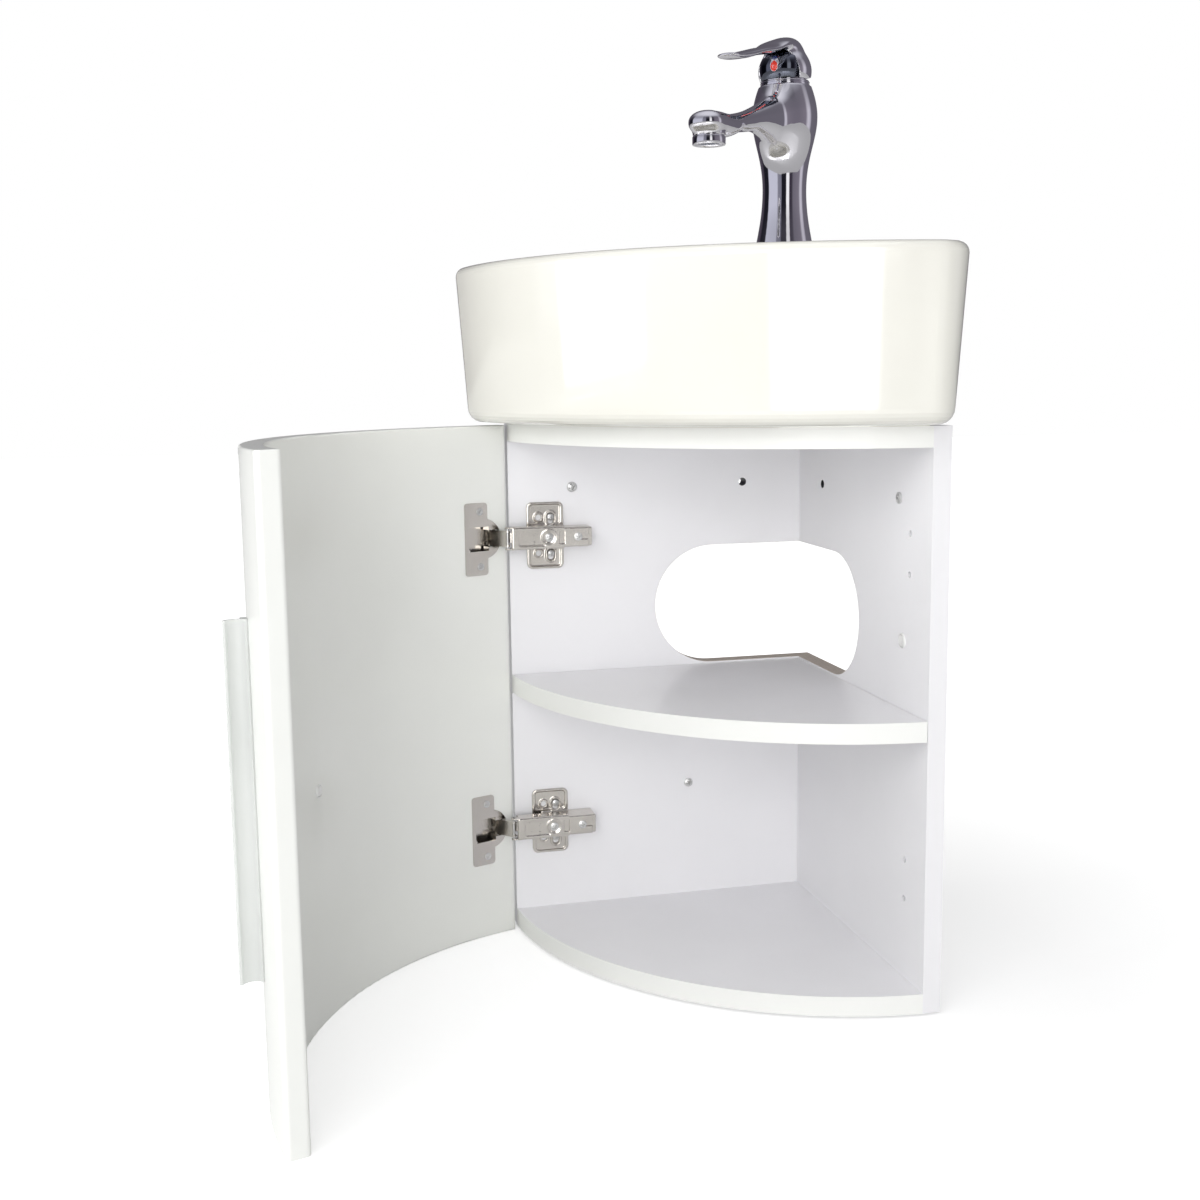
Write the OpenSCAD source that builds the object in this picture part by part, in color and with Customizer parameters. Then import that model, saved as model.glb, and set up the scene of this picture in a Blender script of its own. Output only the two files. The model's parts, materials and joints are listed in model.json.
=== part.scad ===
// Corner vanity unit: a quarter-round wall cabinet with one curved door on two concealed
// hinges, a ceramic corner basin on top of it and a single-lever mixer tap on the basin.
// The origin is the back corner of the cabinet's underside. The two walls lie behind the
// planes x = 0 and y = 0, the front faces -X and -Y, and +Z points up. Sizes are millimetres.
// The door is modelled shut and then turned about its swing centre to its rest pose.

/* [Cabinet] */
// Length of each side panel along its wall
side_w = 286.5; // [275:0.5:300]
// Thickness of the side panels
side_t = 15; // [14:0.5:16]
// Height of the cabinet body
cab_h = 457; // [450:1:480]
// Thickness of the bottom, shelf and top boards
board_t = 16; // [15:0.5:18]
// Height of the shelf's upper face above the cabinet's underside
shelf_z = 233.5; // [226:0.5:236]
// Play between the loose shelf and each side panel
shelf_play = 0.5; // [0.3:0.1:1]
// Distance that the centre of the front arc lies beyond the back corner
front_offset = 8; // [4:1:14]
// Distance from the back corner to the end of the pipe cut-out
slot_reach = 153.5; // [130:0.5:165]
// Radius of the round end of the pipe cut-out
slot_r = 54; // [40:1:58]
// Strip of panel left between the shelf and the cut-out
slot_rise = 1.5; // [1:0.5:4]
// Radius of the shelf pins
pin_r = 2.5; // [2:0.1:3]
// Depth of the shelf pins in the panels
pin_depth = 8; // [6:0.5:10]
// Distance of the front shelf pins from the back corner
pin_front = 250; // [225:1:262]
// Distance of the rear shelf pins from the back corner
pin_rear = 60; // [45:1:90]

/* [Cabinet fixings] */
// Height of the wall fixings
wall_fix_z = 399.5; // [380:0.5:410]
// Distance of the front wall bolts from the back corner
wall_bolt_d = 229.5; // [205:0.5:235]
// Distance of the rear wall-screw holes from the back corner
wall_hole_d = 70.5; // [50:0.5:95]
// Radius of a wall-screw hole
wall_hole_r = 3.5; // [3:0.1:4.5]
// Radius of a wall bolt's head
bolt_head_r = 4.5; // [4.2:0.1:6]
// Radius of the assembly screws
screw_r = 2.5; // [2:0.1:3]
// Length of the assembly screws
screw_len = 50; // [40:1:60]
// Radius of the white cover cap on the right panel
cap_r = 6; // [5:0.1:7]
// Height of the cover cap
cap_z = 288; // [270:1:300]
// Height of the lone screw on the left panel
low_screw_z = 122; // [110:1:140]
// Distance of the lone screw from the back corner
low_screw_d = 123; // [100:1:150]

/* [Door] */
// Thickness of the door
door_t = 17; // [16:0.5:18]
// Gap between the cabinet's front arc and the shut door
door_gap = 1.9; // [1.8:0.1:2.4]
// Distance that the door hangs below the cabinet's underside
door_drop = 2; // [0:0.5:5]
// Gap between the door's top edge and the basin's seat
door_head = 2; // [1.5:0.5:6]
// Distance of the shut door's ends from the wall planes
door_end = 0.5; // [0.5:0.1:1.5]
// Rounding of the door's vertical edges
door_edge_r = 3.5; // [3:0.1:4]
// Rounding of the door's top and bottom edges
door_rim_r = 1.5; // [1:0.1:2.5]
// Angle between the shut door and its rest pose
door_open = 74.2; // [70:0.1:78]
// Distance of the swing centre in front of the side panel
swing_front = 14.8; // [14.5:0.1:15.2]
// Distance of the swing centre from the outer wall plane
swing_side = 10.5; // [10.2:0.1:10.8]

/* [Door handle] */
// Length of the handle
handle_len = 244; // [200:1:300]
// Distance that the handle stands out of the door
handle_out = 15; // [12:0.5:20]
// Depth of the handle's hollow for the fingertips
handle_hollow = 3.8; // [3:0.1:5]
// Thickness of the handle's blade
handle_t = 2.4; // [2:0.1:3]
// Distance of the handle from the door's free end along the outer face
handle_inset = 51; // [35:1:80]
// Height of the handle's middle above the cabinet's underside
handle_z = 223; // [200:1:250]
// Distance between the handle's two screws
handle_pitch = 128; // [96:32:160]

/* [Hinges] */
// Height of the lower hinge's middle
hinge_low_z = 97; // [85:0.5:110]
// Height of the upper hinge's middle
hinge_high_z = 357.5; // [345:0.5:362]
// Distance of the hinge cup's axis from the door's end along the inner face
cup_edge = 24.5; // [24.3:0.1:25]
// Radius of the hinge cup
cup_r = 17.5; // [17.5:0.1:17.8]
// Depth of the hinge cup in the door
cup_depth = 11.5; // [11:0.1:12.5]
// Thickness of the cup's sheet metal
cup_t = 1; // [0.8:0.1:1.1]
// Height of the cup's flange
flange_h = 63; // [60:1:68]
// Distance of the cup screws from the cup's axis, up and down
cup_screw_z = 24; // [23.5:0.5:26]
// Width of the hinge arm
arm_w = 20; // [19.6:0.1:20.4]
// Height of the arm's pins above the side panel
arm_pin_h = 18; // [17.8:0.1:18.2]
// Distance of the front arm pin in front of the side panel
arm_pin_front = 4.5; // [4.3:0.1:4.7]
// Distance of the rear arm pin behind the side panel's front edge
arm_pin_rear = 15.5; // [15.2:0.1:15.8]
// Height of the rear arm pin above the side panel
rear_pin_h = 16; // [15.9:0.1:16.1]
// Distance of the outer link's cup pin from the swing centre
cup_pin_swing = 10; // [9.8:0.1:10.2]
// Width of the outer link
outer_link_w = 13.8; // [13.4:0.1:14]
// Width of the inner link
inner_link_w = 8.8; // [8:0.1:9]
// Radius of the hinge pins
hinge_pin_r = 1.1; // [1:0.05:1.15]
// Distance of the mounting plate's screws from the panel's front edge
plate_setback = 37; // [36.5:0.5:38]
// Distance between the mounting plate's two screws
plate_pitch = 32; // [31:0.5:34]

/* [Basin] */
// Distance from the back corner to the basin's front rim
basin_reach = 331; // [325:1:345]
// Height of the basin
basin_h = 131; // [120:1:145]
// Radius of the basin's corners seen from above
basin_corner_r = 30; // [28:1:36]
// Distance that the basin's sides draw in towards the bottom
basin_draft = 7.5; // [5:0.5:9]
// Rounding of the basin's upper outer edge
lip_r = 8; // [5:0.5:10]
// Rounding of the basin's lower outer edge
foot_r = 12; // [8:0.5:14]
// Distance of the basin's foot ring from its rim
foot_inset = 42; // [38:1:48]
// Height of the foot ring, which leaves a shadow gap over the cabinet
foot_h = 1.5; // [1:0.1:2.5]
// Wall thickness of the ceramic
china_t = 13; // [12:0.5:15]
// Width of the basin's rim round the bowl
rim_w = 29; // [26:0.5:34]
// Depth of the bowl
bowl_depth = 88; // [75:1:92]
// Radius of the bowl's corners
bowl_corner_r = 55; // [45:1:58]
// Distance from the back corner to the bowl's back edge, along the diagonal
tap_deck = 98; // [96:1:106]
// Distance of the drain hole from each wall
drain_d = 140; // [134:1:150]
// Radius of the drain hole
drain_r = 22.5; // [20:0.5:24]

/* [Tap] */
// Distance of the tap's axis from each wall
tap_d = 41; // [41:0.5:44]
// Radius of the tap hole in the basin
tap_hole_r = 17.5; // [16:0.5:18.5]
// Radius of the tap body's foot
tap_foot_r = 27.2; // [25:0.1:28]
// Radius of the tap body's waist
tap_waist_r = 19.2; // [19:0.1:22]
// Radius of the tap body's bulge at the spout
tap_bulge_r = 28; // [26:0.1:29]
// Radius of the tap body's neck under the bonnet
tap_neck_r = 22.5; // [22:0.1:24]
// Height of the tap body above its gasket
tap_body_h = 151; // [146:0.5:160]
// Height of the waist above the gasket
tap_waist_h = 62; // [58:1:70]
// Height of the bulge above the gasket
tap_bulge_h = 125; // [122:1:130]
// Distance from the tap's axis to the middle of the water outlet
spout_reach = 142; // [120:1:155]
// Height of the spout's middle above the gasket
spout_h = 117; // [112:1:120]
// Distance that the spout drops to its outlet
spout_drop = 20; // [14:1:26]
// Radius of the spout
spout_r = 9.8; // [9:0.1:11]
// Radius of the outlet's aerator
aerator_r = 12.5; // [11:0.1:13.5]
// Height of the aerator
aerator_h = 11; // [9:0.5:13]
// Radius of the lever's domed cap
lever_cap_r = 22.6; // [22.4:0.1:24]
// Distance from the tap's axis to the lever's tip
lever_reach = 115; // [90:1:130]
// Half width of the lever at its tip
lever_tip_r = 9; // [7:0.5:10]
// Steepest lift that the lever needs room for
lever_lift = 15; // [10:1:15]

/* [Clearances] */
// Running clearance on the radius of a hinge pin
pin_play = 0.06; // [0.03:0.01:0.1]
// Clearance between neighbouring parts that stay put
fit = 0.1; // [0.05:0.01:0.2]
// Gap between parts that move past each other
run_gap = 0.4; // [0.3:0.05:0.5]

/* [Hidden] */
$fn = 72;
eps = 1;
far = 1000;
// cabinet
front_r = norm([side_w + front_offset, side_t + front_offset]);
slot_z = shelf_z + slot_rise + slot_r;
board_zs = [0, cab_h - board_t];
screw_ds = [85, 220];
screw_head_r = 2 * screw_r;
screw_head_h = 4;
hang_depth = 8;
// door
door_in_r = front_r + door_gap;
door_out_r = door_in_r + door_t;
door_z0 = -door_drop;
door_z1 = cab_h - door_head;
swing = [-(side_w + swing_front), -swing_side];
door_end_a = 180 + asin((front_offset + door_end) / door_in_r);
cup_a = door_end_a + cup_edge / door_in_r * 180 / PI;
handle_a = 270 - asin((front_offset + door_end) / door_out_r) - handle_inset / door_out_r * 180 / PI;
handle_screw_side = -5;
door_cap_a = 228;
door_cap_z = 184;
door_cap_r = 5.2;
// hinges
hinge_zs = [hinge_low_z, hinge_high_z];
panel_face = -side_t;
arm_pin_a = [-(side_w + arm_pin_front), panel_face - arm_pin_h];
arm_pin_b = [-(side_w - arm_pin_rear), panel_face - rear_pin_h];
swing_to_arm = atan2(arm_pin_a[1] - swing[1], arm_pin_a[0] - swing[0]);
cup_pin_a = swing + cup_pin_swing * dir(swing_to_arm - door_open / 2);
cup_pin_a_shut = swing + cup_pin_swing * dir(swing_to_arm + door_open / 2);
cup_pin_b_depth = 2.6;
cup_pin_b_edge = 9.8;
cup_pin_b_a = door_end_a + cup_pin_b_edge / door_in_r * 180 / PI;
cup_pin_b_shut = [front_offset, front_offset] + (door_in_r + cup_pin_b_depth) * dir(cup_pin_b_a);
cup_pin_b = turned(cup_pin_b_shut - swing, -door_open) + swing;
arm_eye = arm_pin_b + [-0.06, 0.24];
arm_eye_play = 1.23;
small_eye_r = hinge_pin_r + 0.7;
cup_pin_b_half = 7.4;
eye_r = hinge_pin_r + 1.1;
strap_t = 1;
web_in = 1.1;
link_bend = cup_pin_b + [1.7, -3.2];
arm_t = 1.4;
roof_y = arm_pin_a[1] - eye_r - 0.2;
arm_top = roof_y - arm_t;
arm_x0 = -(side_w + 1.5);
arm_x1 = -(side_w - 67.2);
arm_foot = panel_face - 9;
plate_x0 = -(side_w - 15.5);
plate_x1 = -(side_w - 48.5);
plate_t = 2.2;
plate_h = 59;
ridge_x0 = -(side_w - 24);
ridge_x1 = arm_x1 + 3;
ridge_w = arm_w - 2 * arm_t - 0.6;
ridge_t = 1.6;
wing_hole_x = -(side_w - 26.1);
wing_screw_x = -(side_w - plate_setback);
arm_screw_x = -(side_w - 31.8);
rear_screw_x = -(side_w - 57.5);
flange_t = 1.2;
flange_in = -3.8;
flange_out = 18.8;
cup_screw_side = 4;
cheek_w = outer_link_w / 2 + 0.5;
cheek_t = 3;
small_screw_r = 1.8;
small_head_r = 3.2;
// basin
basin_z0 = cab_h + foot_h;
basin_z1 = cab_h + basin_h;
deck_z = basin_z1 - china_t;
ledge_z = basin_z0 + 14;
foot_side = basin_draft + foot_r;
shoulder_z = basin_z0 + 72;
bowl_r = basin_reach - rim_w;
bowl_wall = rim_w + 2;
bowl_lip = 5;
bowl_z = basin_z1 - bowl_depth;
bowl_steps = 9;
// tap
tap_z = basin_z1 + 2;
tap_top = tap_z + tap_body_h;
bonnet_h = 4.5;
bonnet_r = tap_neck_r - 1;
cap_z0 = tap_top + bonnet_h + 12;
dome_r = lever_cap_r - 2.4 - run_gap;
dome_z0 = tap_top + bonnet_h + 0.3;
dome_hollow_r = 16;
ball_r = 7;
spindle_r = 4;
tilt_pin_r = 1.5;
cartridge_r = 17.5;
cartridge_z0 = tap_top - 37;
spout_z = tap_z + spout_h;
spout_start = 30;
spout_root = 44;
spout_arc_r = (pow(spout_reach - spout_start, 2) + pow(spout_drop, 2)) / (2 * spout_drop);
outlet_z = spout_z - spout_drop;
aerator_z0 = outlet_z - aerator_h - 4;
stud_side = 10;
stud_r = 4;

// ---- helpers ----
function dir(a) = [cos(a), sin(a)];
function turned(p, a) = [p[0] * cos(a) - p[1] * sin(a), p[0] * sin(a) + p[1] * cos(a)];
function ease(a, b, t) = a + (b - a) * (1 - cos(180 * t)) / 2;

// a copy of the children for the left panel and one mirrored onto the right panel
module both_sides() {
    children();
    mirror([1, -1, 0]) children();
}

// a round rod or bore along +Y from y = 0, for what is driven in from the left wall
module rod_y(r, len) {
    rotate([-90, 0, 0]) cylinder(h = len, r = r);
}

// the door's rest pose, for what is modelled shut
module at_rest() {
    translate([swing[0], swing[1], 0]) rotate(-door_open) translate([-swing[0], -swing[1], 0])
        children();
}

// a frame on the shut door's inner face: +X into the door, +Y towards the free end
module on_door(a, z) {
    translate([front_offset, front_offset, z]) rotate(a) translate([door_in_r, 0, 0]) children();
}

// the tap's own frame: +X towards the front of the basin, z as in the whole unit
module on_tap() {
    translate([-tap_d, -tap_d, 0]) rotate(225) children();
}

// ---- cabinet ----
module quarter_board(z, play) {
    translate([0, 0, z]) linear_extrude(board_t) intersection() {
        translate([front_offset, front_offset]) circle(front_r);
        translate([-far, -far]) square(far - side_t - play);
    }
}

// the pipe cut-out, which runs through the back corner from one panel into the other
module pipe_slot() {
    both_sides() translate([-(slot_reach - slot_r), eps, slot_z]) rotate([90, 0, 0])
        linear_extrude(side_t + 2 * eps) union() {
            circle(slot_r);
            translate([0, -slot_r]) square([far, 2 * slot_r]);
        }
}

// bores of the assembly screws that enter the left panel, and the screws with their own size
module board_screws(r, head_r, extra) {
    for (z = board_zs, d = screw_ds)
        translate([-d, 0, z + board_t / 2]) {
            translate([0, extra, 0]) mirror([0, 1, 0]) rod_y(r, screw_len + extra);
            translate([0, extra, 0]) mirror([0, 1, 0]) rod_y(head_r, screw_head_h + extra);
        }
}

module corner_screws(r, head_r, extra) {
    for (z = [70, 180, cab_h - 80])
        translate([-side_t / 2, 0, z]) {
            translate([0, extra, 0]) mirror([0, 1, 0]) rod_y(r, screw_len + extra);
            translate([0, extra, 0]) mirror([0, 1, 0]) rod_y(head_r, screw_head_h + extra);
        }
}

module all_screws(r, head_r, extra) {
    both_sides() board_screws(r, head_r, extra);
    corner_screws(r, head_r, extra);
}

// shelf pins on the left panel
module pins_left(r, out) {
    for (d = [pin_front, pin_rear])
        translate([-d, panel_face - out, shelf_z - board_t - pin_r]) rod_y(r, pin_depth + out);
}

// the wall bolt and wall-screw hole of the left panel, as bores
module wall_bores() {
    translate([-wall_bolt_d, -side_t - eps, wall_fix_z]) rod_y(screw_r + fit, side_t + 2 * eps);
    translate([-wall_hole_d, -side_t - eps, wall_fix_z]) rod_y(wall_hole_r, side_t + 2 * eps);
}

module panel_cuts() {
    pipe_slot();
    all_screws(screw_r + fit, screw_head_r + fit, eps);
    both_sides() pins_left(pin_r + fit / 2, 0);
    both_sides() wall_bores();
}

module left_panel() {
    color("whitesmoke") difference() {
        translate([-side_w, -side_t, 0]) cube([side_w, side_t, cab_h]);
        panel_cuts();
        translate([-low_screw_d, panel_face, low_screw_z]) rod_y(screw_r + fit, hang_depth + fit);
        for (z = hinge_zs, s = [-1, 1])
            translate([wing_screw_x, panel_face, z + s * plate_pitch / 2])
                rod_y(small_screw_r + fit, 11 + fit);
    }
}

module right_panel() {
    color("whitesmoke") difference() {
        translate([-side_t, -side_w, 0]) cube([side_t, side_w - side_t, cab_h]);
        panel_cuts();
        translate([panel_face, -(side_w - 48), cap_z]) rotate([0, 90, 0])
            cylinder(h = 7, r = cap_r - 1);
        for (z = hinge_zs, s = [-1, 1])
            translate([panel_face, wing_screw_x, z + s * plate_pitch / 2]) rotate([0, 90, 0])
                cylinder(h = 11, r = small_screw_r + 0.7);
    }
}

module bottom_board() {
    color("whitesmoke") difference() {
        quarter_board(board_zs[0], 0);
        all_screws(screw_r + fit, screw_r + fit, eps);
    }
}

module shelf() {
    color("whitesmoke") quarter_board(shelf_z - board_t, shelf_play);
}

// the top board is open under the bowl's drain and the tap's fixings
module top_board() {
    color("whitesmoke") difference() {
        quarter_board(board_zs[1], 0);
        all_screws(screw_r + fit, screw_r + fit, eps);
        translate([0, 0, board_zs[1] - eps]) linear_extrude(board_t + 2 * eps) union() {
            translate([-drain_d, -drain_d]) circle(2 * drain_r + 5);
            translate([-tap_d, -tap_d]) rotate(225)
                translate([0, -20]) square([(drain_d - tap_d) * sqrt(2), 40]);
            translate([-tap_d - 4, -tap_d - 4]) circle(20);
        }
    }
}

module shelf_pins() {
    color("silver") both_sides() pins_left(pin_r, 8);
}

module assembly_screws() {
    color("silver") all_screws(screw_r, screw_head_r, 0);
}

module wall_bolts() {
    color("silver") both_sides() translate([-wall_bolt_d, panel_face, wall_fix_z]) {
        rod_y(screw_r, side_t);
        mirror([0, 1, 0]) rod_y(bolt_head_r, 1.2);
        translate([0, -1.2, 0]) mirror([0, 1, 0]) rod_y(bolt_head_r - 1.2, 1.6);
    }
}

module low_screw() {
    color("ivory") translate([-low_screw_d, panel_face, low_screw_z]) {
        rod_y(screw_r, hang_depth);
        mirror([0, 1, 0]) rod_y(4, 1);
        translate([0, -1, 0]) mirror([0, 1, 0]) rod_y(2.6, 1.2);
    }
}

module cover_cap() {
    color("white") translate([panel_face, -(side_w - 48), cap_z]) rotate([0, 90, 0]) {
        cylinder(h = 6, r = cap_r - 1 - fit);
        translate([0, 0, -1.2]) cylinder(h = 1.2, r = cap_r);
    }
}

// ---- door ----
// what has to go from the shut door's hinge end to round one vertical edge
module edge_cut(centre_r, side) {
    cy = -door_end - door_edge_r;
    cx = front_offset - sqrt(pow(centre_r, 2) - pow(front_offset - cy, 2));
    inward = dir(atan2(front_offset - cy, front_offset - cx)) * side;
    corner = [cx, cy] + (door_edge_r + eps) * (inward + [0, 1]);
    translate([0, 0, door_z0 - eps]) linear_extrude(door_z1 - door_z0 + 2 * eps) difference() {
        polygon([[cx, cy], [cx, cy] + (door_edge_r + eps) * inward, corner,
            [cx, cy + door_edge_r + eps]]);
        translate([cx, cy]) circle(door_edge_r);
    }
}

module door_ring() {
    r = door_rim_r;
    h = door_z1 - door_z0;
    translate([front_offset, front_offset, door_z0]) rotate_extrude($fn = 180) union() {
        translate([door_in_r, r]) square([door_t, h - 2 * r]);
        translate([door_in_r + r, 0]) square([door_t - 2 * r, h]);
        for (x = [door_in_r + r, door_out_r - r], z = [r, h - r]) translate([x, z]) circle(r, $fn = 32);
    }
}

// the flat seat and cup hole of one hinge, cut from the shut door
module hinge_seat(z) {
    on_door(cup_a, z) {
        rotate([0, 90, 0]) cylinder(h = cup_depth + fit, r = cup_r + fit);
        translate([-3, 0, 0]) rotate([0, 90, 0]) cylinder(h = 3, r = cup_r + fit);
        translate([-3, flange_in - fit, -flange_h / 2 - fit])
            cube([3, flange_out - flange_in + 2 * fit, flange_h + 2 * fit]);
        for (s = [-1, 1]) translate([0, cup_screw_side, s * cup_screw_z]) rotate([0, 90, 0])
            cylinder(h = 11 + fit, r = small_screw_r + fit);
    }
}

module handle_frame(z) {
    translate([front_offset, front_offset, z]) rotate(handle_a) translate([door_out_r, 0, 0])
        children();
}

module door() {
    color("white") at_rest() difference() {
        intersection() {
            door_ring();
            translate([-far - door_end, -far - door_end, door_z0 - eps])
                cube([far, far, door_z1 - door_z0 + 2 * eps]);
        }
        both_sides() {
            edge_cut(door_in_r + door_edge_r, 1);
            edge_cut(door_out_r - door_edge_r, -1);
        }
        for (z = hinge_zs) hinge_seat(z);
        for (s = [-1, 1]) handle_frame(handle_z + s * handle_pitch / 2)
            translate([-door_t - 4, handle_screw_side, 0]) rotate([0, 90, 0])
                cylinder(h = door_t + 8, r = 2 + fit);
        on_door(door_cap_a, door_cap_z) rotate([0, 90, 0]) {
            cylinder(h = 8 + fit, r = door_cap_r - 1 + fit);
            translate([0, 0, -3]) cylinder(h = 3, r = door_cap_r + fit);
        }
    }
}

// the handle's section: a foot on the door and a blade hollowed towards the free end
module handle_section() {
    arc_r = (pow(handle_out / 2, 2) + pow(handle_hollow, 2)) / (2 * handle_hollow);
    mid = [handle_out / 2, arc_r - handle_hollow];
    half = asin(handle_out / 2 / arc_r);
    intersection() {
        translate(mid) difference() {
            circle(arc_r + handle_t / 2);
            circle(arc_r - handle_t / 2);
        }
        polygon([mid, mid + 2 * handle_out * dir(270 - half), mid + 2 * handle_out * dir(270 + half)]);
    }
    translate(mid + arc_r * dir(270 + half)) circle(handle_t / 2);
    translate([-1, -10]) square([5.5, 8]);
    translate([-1, -2.5]) square([3.2, 2.7]);
}

module door_handle() {
    color("gainsboro") at_rest() difference() {
        handle_frame(handle_z - handle_len / 2) linear_extrude(handle_len) handle_section();
        translate([front_offset, front_offset, door_z0]) cylinder(h = cab_h, r = door_out_r, $fn = 180);
        for (s = [-1, 1]) handle_frame(handle_z + s * handle_pitch / 2)
            translate([-4, handle_screw_side, 0]) rotate([0, 90, 0]) cylinder(h = 7.6, r = 2 + fit / 2);
    }
}

module handle_screws() {
    color("silver") at_rest() for (s = [-1, 1]) handle_frame(handle_z + s * handle_pitch / 2)
        translate([-door_t - 0.2, handle_screw_side, 0]) rotate([0, 90, 0]) {
            cylinder(h = door_t + 3.6, r = 2);
            translate([0, 0, -2]) cylinder(h = 2, r = 4);
        }
}

module door_cap() {
    color("gainsboro") at_rest() on_door(door_cap_a, door_cap_z) rotate([0, 90, 0]) {
        cylinder(h = 8, r = door_cap_r - 1);
        translate([0, 0, -1.2]) cylinder(h = 1.2, r = door_cap_r);
    }
}

// ---- hinges ----
// the cup in its door frame: flange, pot, cheeks for the link pins and the mouth
module hinge_cup(z) {
    color("silver") at_rest() on_door(cup_a, z) difference() {
        union() {
            translate([-flange_t, 0, 0]) rotate([90, 0, 90]) linear_extrude(flange_t) {
                flange_outline();
                circle(cup_r - 0.3);
            }
            rotate([0, 90, 0]) cylinder(h = cup_depth, r = cup_r);
        }
        difference() {
            rotate([0, 90, 0]) cylinder(h = cup_depth - cup_t, r = cup_r - cup_t);
            for (s = [-1, 1]) translate([-eps, -cup_r, s * (cheek_w + cheek_t / 2) - cheek_t / 2])
                cube([9, cup_r - 5, cheek_t]);
        }
        cup_mouth();
        for (s = [-1, 1]) translate([-flange_t - eps, cup_screw_side, s * cup_screw_z])
            rotate([0, 90, 0]) cylinder(h = flange_t + 2 * eps, r = small_screw_r + fit);
        cup_pin_cuts();
    }
}

module flange_outline() {
    r = 3;
    for (y = [flange_in + r, flange_out - r], s = [-1, 1])
        translate([y, s * (flange_h / 2 - r)]) circle(r);
    translate([flange_in + r, -flange_h / 2]) square([flange_out - flange_in - 2 * r, flange_h]);
    translate([flange_in, -flange_h / 2 + r]) square([flange_out - flange_in, flange_h - 2 * r]);
}

// the mouth lets the arm's nose in when the door is shut and the links out when it is open
module cup_mouth() {
    room = arm_w / 2 + 0.6;
    notch = inner_link_w / 2 + 0.8;
    translate([-flange_t - eps, -5, -room]) cube([flange_t + eps, 20.5, 2 * room]);
    translate([-flange_t - eps, -cup_r - 5, -cheek_w])
        cube([flange_t + 1.4 + eps, cup_r + 5, 2 * cheek_w]);
    translate([-eps, -cup_r - 5, -notch]) cube([5 + eps, 9, 2 * notch]);
}

// the outer link's pin sits in the cheeks and the inner link's pin in the cup's wall
module cup_pin_cuts() {
    a = in_cup(cup_pin_a_shut);
    b = in_cup(cup_pin_b_shut);
    reach = cheek_w + cheek_t;
    translate([a[0], a[1], -reach - eps]) cylinder(h = 2 * (reach + eps), r = hinge_pin_r + fit / 2);
    translate([b[0], b[1], -cup_pin_b_half - fit])
        cylinder(h = 2 * (cup_pin_b_half + fit), r = hinge_pin_r + fit / 2);
}

// a point of the shut door in the cup's frame
function in_cup(p) = turned(p - [front_offset, front_offset], -cup_a) - [door_in_r, 0];

module lower_hinge_cup() {
    hinge_cup(hinge_low_z);
}

module upper_hinge_cup() {
    hinge_cup(hinge_high_z);
}

module cup_screws() {
    color("silver") at_rest() for (z = hinge_zs, s = [-1, 1])
        on_door(cup_a, z) translate([-flange_t, cup_screw_side, s * cup_screw_z]) rotate([0, 90, 0]) {
            cylinder(h = 11, r = small_screw_r);
            translate([0, 0, -1]) cylinder(h = 1, r = small_head_r);
        }
}

module cup_pins() {
    reach = cheek_w + cheek_t;
    color("silver") for (z = hinge_zs) {
        translate([cup_pin_a[0], cup_pin_a[1], z - reach]) cylinder(h = 2 * reach, r = hinge_pin_r);
        translate([cup_pin_b[0], cup_pin_b[1], z - cup_pin_b_half])
            cylinder(h = 2 * cup_pin_b_half, r = hinge_pin_r);
    }
}

// a folded link seen from above: two eyes, side plates and a web on the room side
module outer_link(z) {
    span = cup_pin_a - arm_pin_a;
    len = norm(span);
    ear_t = 1.5;
    color("gainsboro") translate([arm_pin_a[0], arm_pin_a[1], z]) rotate(atan2(span[1], span[0]))
        difference() {
            union() {
                for (s = [-1, 1]) translate([0, 0, s * (outer_link_w - ear_t) / 2 - ear_t / 2])
                    linear_extrude(ear_t) {
                        circle(eye_r);
                        translate([len, 0]) circle(eye_r);
                        translate([0, -0.6]) square([len, eye_r + 0.6]);
                    }
                translate([0, web_in, -outer_link_w / 2]) cube([len, eye_r - web_in, outer_link_w]);
            }
            for (x = [0, len]) translate([x, 0, -outer_link_w])
                cylinder(h = 2 * outer_link_w, r = hinge_pin_r + pin_play);
        }
}

module lower_outer_link() {
    outer_link(hinge_low_z);
}

module upper_outer_link() {
    outer_link(hinge_high_z);
}

// a straight strap between two points
module strap(p, q) {
    span = q - p;
    translate(p) rotate(atan2(span[1], span[0])) translate([0, -strap_t / 2])
        square([norm(span), strap_t]);
}

// the inner link is bent so that it clears the outer link's pin, and its eye in the arm has room
module inner_link(z) {
    color("silver") translate([0, 0, z - inner_link_w / 2]) linear_extrude(inner_link_w) difference() {
        union() {
            strap(arm_eye, link_bend);
            strap(link_bend, cup_pin_b);
            translate(link_bend) circle(strap_t / 2);
            translate(arm_eye) circle(small_eye_r + arm_eye_play);
            translate(cup_pin_b) circle(small_eye_r);
        }
        translate(arm_eye) circle(hinge_pin_r + arm_eye_play);
        translate(cup_pin_b) circle(hinge_pin_r + pin_play);
    }
}

module lower_inner_link() {
    inner_link(hinge_low_z);
}

module upper_inner_link() {
    inner_link(hinge_high_z);
}

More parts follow.
